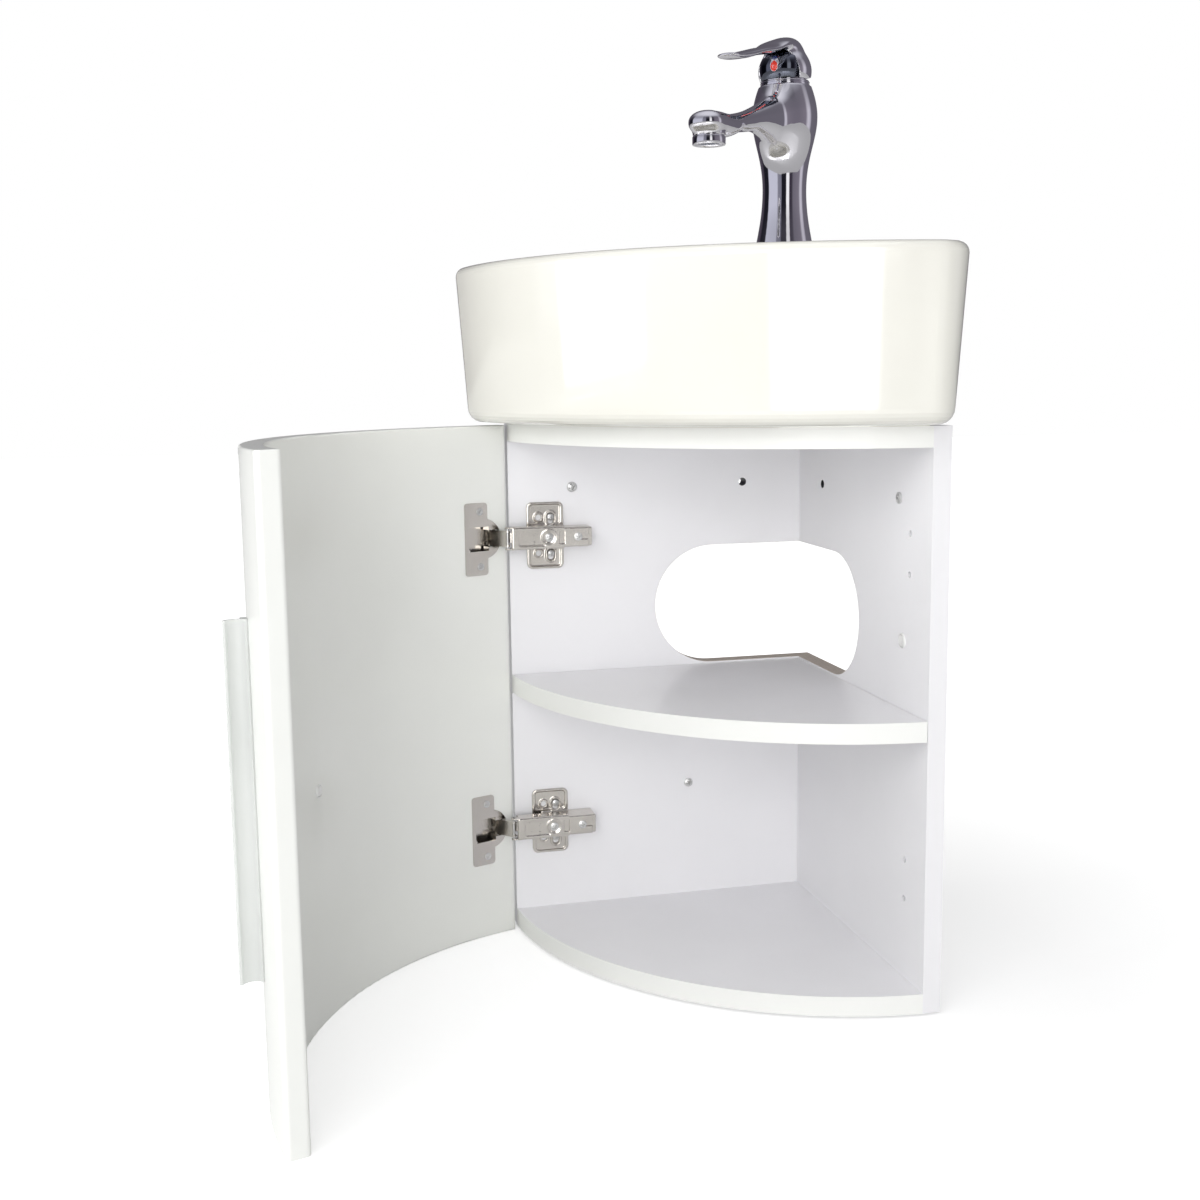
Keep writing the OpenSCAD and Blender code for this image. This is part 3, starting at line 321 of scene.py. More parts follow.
ZINC = painted("zinc", (0.60, 0.60, 0.60), (0.74, 0.74, 0.73), 0.37, 1600.0, 0.06, 0.0, 0.08, 1.0)
NICKEL = painted("nickel", (0.56, 0.53, 0.49), (0.66, 0.63, 0.59),
                 0.19, 1400.0, 0.05, 0.0, 0.07, 1.0)
CHROME = painted("chrome", (0.80, 0.79, 0.83), (0.85, 0.84, 0.88),
                 0.04, 500.0, 0.01, 0.0, 0.015, 1.0)
SMOKE = painted("dark_chrome", (0.10, 0.11, 0.14), (0.16, 0.17, 0.21),
                0.05, 500.0, 0.01, 0.0, 0.02, 1.0)
RED = painted("red_enamel", (0.60, 0.02, 0.01), (0.72, 0.04, 0.02), 0.2, 900.0, 0.02, 0.5)
BLUE = painted("blue_enamel", (0.01, 0.02, 0.10), (0.02, 0.04, 0.18), 0.2, 900.0, 0.02, 0.5)
BRASS = painted("brass", (0.60, 0.43, 0.18), (0.72, 0.53, 0.24), 0.3, 1200.0, 0.05, 0.0, 0.08, 1.0)
RUBBER = painted("gasket", (0.02, 0.02, 0.02), (0.04, 0.04, 0.04), 0.6, 900.0, 0.1)

BY_SLOT = {
    "white_board": MELAMINE, "white_lacquer": LACQUER, "satin_white_metal": SATIN,
    "white_plastic": PLASTIC, "zinc_steel": ZINC, "nickel_steel": NICKEL,
    "ivory_ceramic": IVORY, "rubber": RUBBER, "chrome": CHROME, "red_plastic": RED, "brass": BRASS,
}
SLOT_OF = {p["node"]: p["material_slot"] for p in frame["record"]["subparts"]}
for name, obj in NODES.items():
    obj.data.materials.clear()
    obj.data.materials.append(BY_SLOT[SLOT_OF[name]])
NODES["left_panel"].data.materials[0] = MELAMINE_L
NODES["right_panel"].data.materials[0] = MELAMINE_R
for name in ("bottom_board", "shelf", "top_board"):
    NODES[name].data.materials[0] = MELAMINE_E


# ---------------------------------------------------------------- mesh helpers
def piece(name, verts, faces, body, slot, material=None, replaces=(), crease=40.0):
    """A piece from points in millimetres in the part's frame, moving with a body."""
    mesh = bpy.data.meshes.new(name)
    rows = [tuple(int(i) for i in f) for f in faces]
    mesh.from_pydata((np.asarray(verts) * MM).tolist(), [], rows)
    mesh.validate()
    mesh.shade_smooth()
    mesh.set_sharp_from_angle(angle=math.radians(crease))
    mesh.materials.append(material or BY_SLOT[slot])
    obj = link(bpy.data.objects.new(name, mesh))
    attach(obj, body)
    if replaces:
        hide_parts(*replaces)
    return obj


def smin(a, b, k):
    h = np.clip(0.5 + 0.5 * (b - a) / k, 0.0, 1.0)
    return b + (a - b) * h - k * h * (1.0 - h)


def smax(a, b, k):
    return -smin(-a, -b, k)


def slab(u, v, mid, half, r):
    """A rectangle in u and v about mid, with corners of radius r."""
    du = np.abs(u - mid[0]) - half[0] + r
    dv = np.abs(v - mid[1]) - half[1] + r
    return np.hypot(np.maximum(du, 0), np.maximum(dv, 0)) + np.minimum(np.maximum(du, dv), 0) - r


def disc(u, v, mid, r):
    return np.hypot(u - mid[0], v - mid[1]) - r


def between(u, a, b):
    return np.maximum(a - u, u - b)


def corner(values, offset, shape):
    return values[tuple(slice(o, o + n) for o, n in zip(offset, shape))]


# how far from a point the slope of a field is probed, in millimetres
PROBE = 0.05


def skin(field, low_corner, high_corner, step):
    """Vertices and quads of the surface where the field is 0, drawn onto it by Newton steps."""
    base = np.array(low_corner, float)
    n = np.ceil((np.array(high_corner) - base) / step).astype(int) + 1
    axes = [base[k] + step * np.arange(n[k]) for k in range(3)]
    grid = np.stack(np.meshgrid(*axes, indexing="ij"), -1).reshape(-1, 3)
    values = field(grid).reshape(n)
    cells = tuple(n - 1)
    total = np.zeros(cells + (3,))
    hits = np.zeros(cells)
    for axis in range(3):
        u, v = [k for k in range(3) if k != axis]
        for du in (0, 1):
            for dv in (0, 1):
                near = [0, 0, 0]
                near[u], near[v] = du, dv
                away = list(near)
                away[axis] = 1
                a, b = corner(values, near, cells), corner(values, away, cells)
                cut = (a < 0) != (b < 0)
                share = np.where(cut, a / np.where(cut, a - b, 1.0), 0.0)
                total[..., axis] += share
                total[..., u] += du * cut
                total[..., v] += dv * cut
                hits += cut
    index = np.argwhere(hits > 0)
    key = tuple(index.T)
    verts = base + step * (index + total[key] / hits[key][:, None])
    ids = np.full(cells, -1)
    ids[key] = np.arange(len(index))
    inside = values < 0
    faces = []
    for axis in range(3):
        u, v = [k for k in range(3) if k != axis]
        a = np.take(inside, range(0, n[axis] - 1), axis)
        b = np.take(inside, range(1, n[axis]), axis)
        at = np.argwhere(a != b)
        at = at[(at[:, u] > 0) & (at[:, v] > 0) & (at[:, u] < n[u] - 1) & (at[:, v] < n[v] - 1)]
        ring = []
        for du, dv in ((1, 1), (0, 1), (0, 0), (1, 0)):
            c = at.copy()
            c[:, u] -= du
            c[:, v] -= dv
            ring.append(ids[tuple(c.T)])
        quads = np.stack(ring, -1)
        turn = a[tuple(at.T)] != (axis != 1)
        quads[turn] = quads[turn][:, ::-1]
        faces.append(quads)
    for _ in range(3):
        value = field(verts)
        slope = np.stack([(field(verts + d) - field(verts - d)) / (2 * PROBE)
                          for d in PROBE * np.eye(3)], -1)
        move = -value[:, None] * slope / np.maximum((slope ** 2).sum(1), 0.05)[:, None]
        size = np.linalg.norm(move, axis=1)
        verts = verts + move * np.minimum(1.0, 0.4 * step / np.maximum(size, 1e-9))[:, None]
    return verts, np.concatenate(faces)


def revolve(profile, turns=96):
    """A closed revolve about z of (radius, z) points that start and end on the axis."""
    verts, faces = [], []
    rows = []
    for r, z in profile:
        if r == 0:
            rows.append([len(verts)] * turns)
            verts.append((0.0, 0.0, z))
        else:
            rows.append(list(range(len(verts), len(verts) + turns)))
            verts += [(r * math.cos(t), r * math.sin(t), z)
                      for t in np.arange(turns) * 2 * math.pi / turns]
    for a, b in zip(rows[:-1], rows[1:]):
        for i in range(turns):
            j = (i + 1) % turns
            face = list(dict.fromkeys((a[i], a[j], b[j], b[i])))
            if len(face) > 2:
                faces.append(face)
    return np.array(verts), faces


def turned(verts, degrees, mid=(0.0, 0.0)):
    """Turned about a vertical line."""
    c, s = math.cos(math.radians(degrees)), math.sin(math.radians(degrees))
    x, y = verts[:, 0] - mid[0], verts[:, 1] - mid[1]
    return np.stack([mid[0] + c * x - s * y, mid[1] + s * x + c * y, verts[:, 2]], -1)


# ---------------------------------------------------------------- tap
# distance of the tap's axis from each wall, height of the lever's turning point, and the outlet
TAP_D = 41.0
HUB = 757.5
OUTLET = (143.0, 0.0, 0.0)


def on_tap(verts):
    """From the tap's frame, with +X over the bowl, to the part's frame."""
    return turned(np.asarray(verts, float), 225.0) - (TAP_D, TAP_D, 0.0)


# height and radius of the tap's stem
STEM = np.array([
    (586, 27.4), (594, 26.5), (600, 25.6), (610, 24.2), (620, 22.4), (630, 20.7), (640, 19.5),
    (650, 19.0), (660, 19.1), (668, 19.8), (678, 21.3), (690, 23.8), (701, 26.6), (710, 28.0),
    (719, 27.9), (729, 26.4), (737, 24.2), (746, 20.6),
])
STEM_FIT = np.polynomial.chebyshev.Chebyshev.fit(STEM[:, 0], STEM[:, 1], 9)
# along the spout: distance from the axis, top, underside and half width
SPOUT = np.array([
    (-10, 735, 690, 14), (20, 733, 688, 14.5), (40, 725.0, 693.5, 12.6), (63, 716, 696, 10.6),
    (80, 710.4, 693.6, 10.0), (98, 706.0, 690.4, 10.6), (112, 703.4, 685.8, 12.6),
    (124, 702.4, 683.2, 14.0), (136, 702.2, 682.4, 14.6), (146, 701.6, 682.6, 14.6),
])


def stem_field(p):
    return (np.hypot(p[:, 0], p[:, 1]) - STEM_FIT(np.clip(p[:, 2], 584, 746))) * 0.95


def spout_field(p):
    x = np.clip(p[:, 0], -10, 146)
    top, bottom, half = (smooth_rows(SPOUT[:, 0], SPOUT[:, k], x) for k in (1, 2, 3))
    end = np.maximum(p[:, 0] - 146, 0) / 14.0
    mid, high = (top + bottom) / 2, (top - bottom) / 2
    ring = (np.abs(p[:, 1]) / half) ** 2.2 + (np.abs(p[:, 2] - mid) / high) ** 2.2 + end ** 2.2
    return (ring ** (1 / 2.2) - 1.0) * np.minimum(high, half)


def smooth_rows(at, rows, x):
    """A smooth curve through rows, with slopes from neighbouring points."""
    slope = np.gradient(rows, at)
    k = np.clip(np.searchsorted(at, x) - 1, 0, len(at) - 2)
    span = at[k + 1] - at[k]
    t = (x - at[k]) / span
    return ((1 + 2 * t) * (1 - t) ** 2 * rows[k] + t * (1 - t) ** 2 * span * slope[k]
            + t * t * (3 - 2 * t) * rows[k + 1] + t * t * (t - 1) * span * slope[k + 1])


def tap_body_field(p):
    body = smin(stem_field(p), spout_field(p), 7.0)
    collar = np.maximum(disc(p[:, 0], p[:, 1], OUTLET[:2], 12.9), between(p[:, 2], 682.6, 692.0))
    body = smin(body, collar, 1.6)
    return smax(body, between(p[:, 2], 590.0, 741.0), 0.7)


verts, faces = skin(tap_body_field, (-31, -31, 588), (163, 31, 744), 1.0)
piece("tap_body_skin", on_tap(verts), faces, "carcass", "chrome", replaces=["tap_body"],
      crease=60.0)

ring = [
    (0, 741), (20.6, 741), (21.2, 741.5), (21.2, 742.3), (20.7, 742.6), (20.7, 743.0),
    (21.2, 743.3), (21.2, 744.4), (20.9, 744.8), (20.5, 745.0), (20.5, 745.5), (0, 745.5),
]
verts, faces = revolve(ring, 144)
piece("tap_bonnet_rings", on_tap(verts), faces, "carcass", "chrome", replaces=["tap_bonnet"])

# the outlet: a ribbed ring with a screen set back in it
outlet = [
    (0, 678.0), (10.2, 678.0), (10.4, 676.2), (10.8, 675.5), (12.0, 675.2), (12.9, 675.5),
    (13.2, 676.2), (13.2, 681.4), (12.9, 682.0), (12.5, 682.2), (12.5, 683.2), (0, 683.2),
]
verts, faces = revolve(outlet, 144)
verts = verts + OUTLET
piece("tap_outlet", on_tap(verts), faces, "carcass", "chrome", replaces=["tap_aerator"])


BAR_FACES = ((0, 1, 2, 3), (7, 6, 5, 4), (0, 4, 5, 1), (1, 5, 6, 2), (2, 6, 7, 3), (3, 7, 4, 0))


def mesh_screen():
    """The outlet's screen: two layers of thin crossed strips."""
    verts, faces = [], []
    for layer, turn in ((0, 0.0), (1, 90.0)):
        for k in range(-4, 5):
            off = k * 2.0
            half = math.sqrt(9.4 ** 2 - off ** 2)
            z = 677.6 - 0.35 * layer
            low_z = z - 0.3
            bar = np.array([
                (-half, off - 0.3, z), (half, off - 0.3, z),
                (half, off + 0.3, z), (-half, off + 0.3, z),
                (-half, off - 0.2, low_z), (half, off - 0.2, low_z),
                (half, off + 0.2, low_z), (-half, off + 0.2, low_z),
            ])
            first = len(verts)
            verts += list(turned(bar, turn))
            faces += [[first + i for i in f] for f in BAR_FACES]
    return np.array(verts), faces


verts, faces = mesh_screen()
piece("tap_screen", on_tap(verts + OUTLET), faces, "carcass", "chrome", SMOKE)

# the lever's hood: angle above the hub and distance from it
HOOD = np.array([
    (-29.7, 24.05), (-23.4, 23.96), (-14.7, 23.6), (-3.8, 22.75), (7.9, 21.85), (20.4, 21.0),
    (33.5, 20.7), (47.1, 20.95), (60.3, 21.8), (71.7, 22.95), (81.9, 23.4), (90.0, 23.6),
])
HOOD_FIT = np.polynomial.polynomial.Polynomial.fit(((90 - HOOD[:, 0]) / 120.0) ** 2, HOOD[:, 1], 5)
# the opening in the hood's front: height and half its angle
WINDOW = np.array([
    (740, 60), (745.6, 60), (751, 58), (757, 54), (762, 48), (766, 40), (769, 28), (771, 12),
    (772.5, -12), (790, -90),
])
# along the lever's blade: distance from the axis, top, underside and half width
BLADE = np.array([
    (-15, 775.0, 768, 8.0), (-7, 778.4, 770, 9.5), (2, 780.0, 771, 11.0),
    (12, 779.2, 769.6, 13.6), (22, 776.0, 768.0, 14.6), (36, 769.9, 763.0, 13.6),
    (60, 763.5, 757.8, 12.0), (85, 756.8, 750.8, 10.8), (102, 752.4, 747.6, 10.0),
    (107, 751.2, 747.2, 9.6),
])
# the lever's top is flattened here
LEVER_TOP = 781.4


def polar(p):
    """Distance from the hub, angle above it and angle about the tap's axis."""
    away = np.hypot(p[:, 0], p[:, 1])
    up = p[:, 2] - HUB
    turn = np.degrees(np.arctan2(p[:, 1], p[:, 0]))
    return np.hypot(away, up), np.degrees(np.arctan2(up, away)), turn


def blade_field(p):
    x = np.clip(p[:, 0], -15, 107)
    top, bottom, half = (smooth_rows(BLADE[:, 0], BLADE[:, k], x) for k in (1, 2, 3))
    end = np.maximum(np.maximum(p[:, 0] - 107, -15 - p[:, 0]), 0) / 8.0
    mid, high = (top + bottom) / 2, (top - bottom) / 2
    ring = (np.abs(p[:, 1]) / half) ** 2.3 + (np.abs(p[:, 2] - mid) / high) ** 2.3 + end ** 2.3
    return (ring ** (1 / 2.3) - 1.0) * high


def lever_field(p):
    far, rise, turn = polar(p)
    hood = far - HOOD_FIT(((90 - np.clip(rise, -31, 90)) / 120.0) ** 2)
    window = (np.interp(p[:, 2], WINDOW[:, 0], WINDOW[:, 1]) - np.abs(turn)) * 0.36
    hood = smax(hood, window, 0.5)
    foot = 745.9 + np.maximum(0, -np.cos(np.radians(turn)) * 22.5 * math.sin(math.radians(15)))
    hood = smax(hood, foot - p[:, 2], 0.4)
    solid = smin(hood, blade_field(p), 6.0)
    solid = smax(solid, p[:, 2] - LEVER_TOP, 0.6)
    low_part = np.clip((5 - rise) / 35.0, 0, 1)
    return smax(solid, 19.1 + 2.8 * low_part ** 2 * (3 - 2 * low_part) - far, 0.3)


verts, faces = skin(lever_field, (-26, -25, 744), (118, 25, 784.5), 0.7)
piece("tap_lever_hood", on_tap(verts), faces, "tap_lever", "chrome", replaces=["tap_lever"],
      crease=55.0)


# the dome's radius, and how far its front swells at each angle above the hub
DOME_R = 18.6
SWELL = ([-40, -30, -15, 0, 15, 25, 34, 90], [4.9, 4.9, 4.4, 4.0, 3.1, 1.5, 0.0, 0.0])


def dome_radius(rise, turn):
    side = np.clip((60 - np.abs(turn)) / 12.0, 0, 1)
    side = side * side * (3 - 2 * side)
    return DOME_R + side * np.interp(rise, *SWELL)


def dome():
    turns, rows = 120, 48
    verts, faces = [(0.0, 0.0, HUB + DOME_R)], []
    for i in range(rows):
        for k in range(turns):
            turn = -180.0 + 360.0 * k / turns
            rise = 88.0 - 120.0 * i / (rows - 1)
            r = float(dome_radius(rise, turn))
            away, up = r * math.cos(math.radians(rise)), r * math.sin(math.radians(rise))
            up = max(up, 745.8 - HUB)
            c, s = math.cos(math.radians(turn)), math.sin(math.radians(turn))
            verts.append((away * c, away * s, HUB + up))
    for k in range(turns):
        faces.append((0, 1 + k, 1 + (k + 1) % turns))
        for i in range(rows - 1):
            a, b = 1 + i * turns, 1 + (i + 1) * turns
            faces.append((a + k, b + k, b + (k + 1) % turns, a + (k + 1) % turns))
    faces.append([1 + (rows - 1) * turns + k for k in range(turns)][::-1])
    return np.array(verts), faces


verts, faces = dome()
piece("tap_dome_skin", on_tap(verts), faces, "tap_stem", "chrome", SMOKE, replaces=["tap_dome"])


def drop(width, height, lift, proud, point):
    """A raised drop on the front of the dome. point draws its upper end to a tip."""
    verts, faces = [], []
    rings, turns = 8, 48
    for i in range(rings + 1):
        f = i / rings
        for k in range(turns):
            t = 2 * math.pi * k / turns
            up = math.sin(t)
            slim = 1.0 - point * max(up, 0.0) ** 2
            y = width / 2 * f * math.cos(t) * slim
            z = HUB + lift + height / 2 * f * up
            rise, turn = math.degrees(math.atan2(z - HUB, 22.0)), math.degrees(math.atan2(y, 22.0))
            r = float(dome_radius(rise, turn)) * math.cos(math.radians(rise))
            swell = proud * (math.cos(f * math.pi / 2) ** 0.5 if f < 1 else 0)
            x = math.sqrt(max(r * r - y * y, 1.0)) + swell - 0.15
            verts.append((x, y, z))
    for i in range(rings):
        for k in range(turns):
            a, b = i * turns + k, i * turns + (k + 1) % turns
            faces.append((a, a + turns, b + turns, b) if i else (a, a + turns, b + turns))
    return np.array(verts), faces


verts, faces = drop(9.4, 13.6, -0.2, 0.5, 0.3)
piece("tap_mark_frame", on_tap(verts), faces, "tap_stem", "chrome")
verts, faces = drop(7.0, 9.4, -1.8, 1.2, 0.35)
piece("tap_mark_hot", on_tap(verts), faces, "tap_stem", "red_plastic", RED,
      replaces=["tap_indicator"])
verts, faces = drop(5.2, 3.4, 4.6, 1.0, 0.0)
piece("tap_mark_cold", on_tap(verts), faces, "tap_stem", "red_plastic", BLUE)

# ---------------------------------------------------------------- hinges
FRONT = 286.5
HINGE_ZS = (97.0, 357.5)
PANEL = 15.0


def on_panel(verts, z):
    """From (distance behind the front edge, height over the panel, z) to the part's frame."""
    v = np.asarray(verts, float)
    return np.stack([v[:, 0] - FRONT, -PANEL - v[:, 1], v[:, 2] + z], -1)


SWING, OPEN = (-301.3, -10.5), 74.2
CUP_A = 186.36


def on_door(verts, angle, z):
    """From the frame on the shut door's inner face to the part's frame at rest."""
    v = turned(np.asarray(verts, float) + (297.297, 0.0, 0.0), angle) + (8.0, 8.0, z)
    return turned(v, -OPEN, SWING)


def plate_field(p):
    s, h, z = p.T
    side = np.abs(z)
    base = smax(slab(s, z, (32.0, 0.0), (16.5, 29.5), 5.0), between(h, 0.0, 2.2), 0.7)
    dish = slab(s, side, (32.0, 19.0), (13.6, 8.3), 2.6)
    base = smax(base, -smax(dish, 1.0 - h, 0.6), 0.4)
    hole = disc(s, side, (26.1, 16.0), 2.4)
    slot = np.minimum(slab(s, z, (37.0, 14.6), (2.3, 4.2), 2.2),
                      slab(s, z, (37.0, -17.4), (2.3, 4.2), 2.2))
    boss = np.minimum(np.maximum(np.abs(hole - 0.9) - 0.7, between(h, 0.4, 2.1)),
                      np.maximum(np.abs(slot - 1.9) - 0.7, between(h, 0.4, 2.1)))
    base = smin(base, boss, 0.7)
    ridge = smax(slab(s, z, (47.1, 0.0), (23.1, 8.3), 1.2), between(h, 0.2, 20.4), 0.8)
    solid = smin(base, ridge, 1.2)
    solid = smax(solid, -np.maximum(between(h, 2.3, 18.8), np.abs(z) - 6.7), 0.3)
    return smax(solid, -np.minimum(hole, slot), 0.5)


def arm_field(p):
    s, h, z = p.T
    outer = slab(s, z, (32.85, 0.0), (34.35, 10.0), 1.8)
    outer = smax(outer, np.abs(z) - 10.0 + 1.2 * np.clip((s - 44.5) / 1.5, 0, 1), 0.3)
    foot = np.where(s > 41.2, 16.0, 9.0)
    shell = smax(outer, between(h, foot, 21.8), 1.5)
    shell = smax(shell, -np.maximum(np.abs(z) - 8.6, h - 20.4), 0.3)
    eye = np.minimum(disc(s, h, (-4.5, 18.0), 2.2), slab(s, h, (-1.5, 18.4), (3.2, 2.4), 0.6))
    shell = smin(shell, smax(eye, between(np.abs(z), 8.6, 10.0), 0.4), 0.8)
    press = smax(slab(s, z, (17.0, 0.0), (12.0, 6.8), 2.0), 21.3 - h, 0.4)
    shell = smax(shell, -press, 0.4)
    bowl = np.sqrt((s - 31.8) ** 2 + (h - 39.8) ** 2 + z ** 2) - 19.0
    shell = smax(shell, -bowl, 0.3)
    shell = smin(shell, np.hypot(disc(s, z, (31.8, 0.0), 6.6), h - 21.5) - 0.55, 0.5)
    shell = smax(shell, -slab(s, z, (43.1, 0.0), (2.4, 5.6), 0.5), 0.3)
    bores = np.minimum(disc(s, z, (31.8, 0.0), 2.1), disc(s, z, (57.5, 0.0), 2.1))
    shell = smax(shell, -bores, 0.3)
    return smax(shell, -slab(s, z, (63.5, 0.0), (6.0, 2.1), 0.3), 0.3)


plate_verts, plate_faces = skin(plate_field, (14, -1, -31), (72, 22.5, 31), 0.6)
arm_verts, arm_faces = skin(arm_field, (-8, 7.5, -11.5), (69, 23.5, 11.5), 0.6)
for part, z in (("lower", HINGE_ZS[0]), ("upper", HINGE_ZS[1])):
    piece(part + "_plate_pressed", on_panel(plate_verts, z), plate_faces, "carcass", "nickel_steel",
          replaces=[part + "_mounting_plate"], crease=60.0)
    piece(part + "_arm_pressed", on_panel(arm_verts, z), arm_faces, "carcass", "nickel_steel",
          replaces=[part + "_hinge_arm"], crease=60.0)


def screw(mid, out, r, high, shank_r, shank, spin=0.0, sunk=False):
    """A cross-recessed screw: its head's base is at mid and it looks along out."""
    out = np.array(out, float) / np.linalg.norm(out)
    side = np.cross(out, (0.0, 0.0, 1.0))
    side /= np.linalg.norm(side)
    rise = np.cross(out, side)
    rings, turns = 16, 48
    rows = [(r * i / rings, None) for i in range(1, rings + 1)]
    rows += [(r, 0.0), (shank_r, 0.0 if not sunk else -0.6 * r), (shank_r, -shank)]
    verts = [(0.0, 0.0, high * 0.35)]
    for reach, level in rows:
        for k in range(turns):
            t = 2 * math.pi * k / turns
            u, v = reach * math.cos(t), reach * math.sin(t)
            w = level
            if w is None:
                f = reach / r
                bend = (0.86 * f) ** (2 if not sunk else 8)
                w = high * (0.94 if sunk else 1.0) * math.sqrt(max(1 - bend, 0.0))
                c, d = math.cos(spin), math.sin(spin)
                a, b = abs(u * c + v * d), abs(v * c - u * d)
                groove = min(max((0.17 * r - min(a, b)) / (0.07 * r), 0.0), 1.0)
                w -= 0.9 * high * groove * min(max((0.66 * r - reach) / (0.2 * r), 0.0), 1.0)
            verts.append((u, v, w))
    faces = [(0, 1 + k, 1 + (k + 1) % turns) for k in range(turns)]
    for i in range(len(rows) - 1):
        a, b = 1 + i * turns, 1 + (i + 1) * turns
        faces += [(a + k, b + k, b + (k + 1) % turns, a + (k + 1) % turns) for k in range(turns)]
    faces.append([1 + (len(rows) - 1) * turns + k for k in range(turns)][::-1])
    v = np.array(verts)
    return np.array(mid) + v[:, :1] * side + v[:, 1:2] * rise + v[:, 2:] * out, faces


def group(parts):
    verts, faces, first = [], [], 0
    for v, f in parts:
        verts.append(v)
        faces += [[first + i for i in face] for face in f]
        first += len(v)
    return np.concatenate(verts), faces


def screw_on_panel(s, h, z, *rest, **more):
    return screw(on_panel([(s, h, 0.0)], z)[0], (0, -1, 0), *rest, **more)


DOOR_OUT = on_door([(-1.0, 0, 0)], CUP_A, 0)[0] - on_door([(0.0, 0, 0)], CUP_A, 0)[0]
plate_screws, arm_screws, cup_screws = [], [], []
for n, z in enumerate(HINGE_ZS):
    for side in (-1, 1):
        plate_screws.append(screw_on_panel(37.0, 1.9, z + side * 16, 3.1, 1.5, 1.8, 9.0,
                                           spin=0.5 + n + side))
        head = on_door([(-1.1, 4.0, side * 24.0)], CUP_A, z)[0]
        cup_screws.append(screw(head, DOOR_OUT, 3.2, 1.1, 1.8, 10.0, spin=0.3 * side + n,
                                sunk=True))
    arm_screws.append(screw_on_panel(31.8, 20.9, z, 3.8, 1.9, 2.0, 5.0, spin=0.7 - n))
    arm_screws.append(screw_on_panel(57.5, 21.7, z, 3.6, 1.5, 2.0, 5.0, spin=0.2 + n))
piece("plate_screw_heads", *group(plate_screws), "carcass", "zinc_steel", replaces=["plate_screws"])
piece("arm_screw_heads", *group(arm_screws), "carcass", "zinc_steel", replaces=["arm_screws"])
piece("cup_screw_heads", *group(cup_screws), "door", "zinc_steel", replaces=["cup_screws"])

# ---------------------------------------------------------------- cabinet fixings
BOLT_D, BOLT_Z = 229.5, 399.5
bolts = [screw((-BOLT_D, -PANEL, BOLT_Z), (0, -1, 0), 4.5, 2.4, 2.5, 12.0, spin=0.4),
         screw((-PANEL, -BOLT_D, BOLT_Z), (-1, 0, 0), 4.5, 2.4, 2.5, 12.0, spin=0.9)]
piece("wall_bolt_heads", *group(bolts), "carcass", "zinc_steel", replaces=["wall_bolts"])
low_screw = screw((-123.0, -PANEL, 122.0), (0, -1, 0), 4.0, 2.0, 2.5, 8.0, spin=0.6)
piece("low_screw_head", *low_screw, "carcass", "zinc_steel", replaces=["low_screw"])


def cap(r, rim, depth):
    """A press-in cover cap: a low dome with a rim line and a dimple in the middle."""
    points = [
        (0, 0.75), (0.6, 0.78), (1.1, 1.02), (r * 0.45, 1.12), (r * 0.72, 1.06), (r * 0.76, 0.25),
        (r * 0.84, 0.25), (r * 0.87, 0.95), (r * 0.95, 0.8), (r, 0.3), (r, 0), (rim, 0),
        (rim, -depth), (0, -depth),
    ]
    return revolve(points[::-1], 72)


def laid(verts, mid, out):
    """Turned so that z looks along out, and moved to mid."""
    out = np.array(out, float) / np.linalg.norm(out)
    side = np.cross((0.0, 0.0, 1.0), out)
    side /= np.linalg.norm(side)
    rise = np.cross(out, side)
    return np.array(mid) + verts[:, :1] * side + verts[:, 1:2] * rise + verts[:, 2:] * out


verts, faces = cap(6.0, 4.8, 5.9)
COVER_CAP = (-PANEL, -238.5, 288.0)
piece("cover_cap_dome", laid(verts, COVER_CAP, (-1, 0, 0)), faces, "carcass", "white_plastic",
      replaces=["cover_cap"])
DOOR_CAP_A, DOOR_CAP_Z = 228.0, 184.0
cap_mid = on_door([(0.0, 0, 0)], DOOR_CAP_A, DOOR_CAP_Z)[0]
cap_out = on_door([(-1.0, 0, 0)], DOOR_CAP_A, DOOR_CAP_Z)[0] - cap_mid
verts, faces = cap(5.2, 4.1, 7.9)
piece("door_cap_dome", laid(verts, cap_mid, cap_out), faces, "door", "white_plastic",
      replaces=["door_cap"])

# ---------------------------------------------------------------- floor and light
floor_mesh = bpy.data.meshes.new("floor")
FLOOR_Z = low[2]
FAR = 9
floor_mesh.from_pydata([(-FAR, -FAR, FLOOR_Z), (FAR, -FAR, FLOOR_Z), (FAR, FAR, FLOOR_Z),
                        (-FAR, FAR, FLOOR_Z)], [], [(0, 1, 2, 3)])
floor = link(bpy.data.objects.new("floor", floor_mesh))
mat, tree, bsdf = new_material("floor_white")
bsdf.inputs["Base Color"].default_value = (0.8, 0.8, 0.8, 1.0)
bsdf.inputs["Roughness"].default_value = 0.9
bsdf.inputs["Specular IOR Level"].default_value = 0.1
# the floor glows white for the camera, more with distance, and a little for glossy surfaces
MIRRORED_GLOW = 0.12
glow = tree.nodes.new("ShaderNodeEmission")
path = tree.nodes.new("ShaderNodeLightPath")
away = tree.nodes.new("ShaderNodeVectorMath")
away.operation = "DISTANCE"
away.inputs[1].default_value = (-0.2, -0.2, FLOOR_Z)
tree.links.new(place_coords(tree), away.inputs[0])
glow_level = map_range(tree, away.outputs["Value"], 0.35, 1.5, 0.45, 0.95)
mirrored = math_node(tree, "MULTIPLY", path.outputs["Is Glossy Ray"], MIRRORED_GLOW)
seen = math_node(tree, "MAXIMUM", path.outputs["Is Camera Ray"],
                 path.outputs["Is Transmission Ray"])
seen = math_node(tree, "MAXIMUM", seen, mirrored)
tree.links.new(math_node(tree, "MULTIPLY", seen, glow_level), glow.inputs["Strength"])
both = tree.nodes.new("ShaderNodeAddShader")
tree.links.new(bsdf.outputs[0], both.inputs[0])
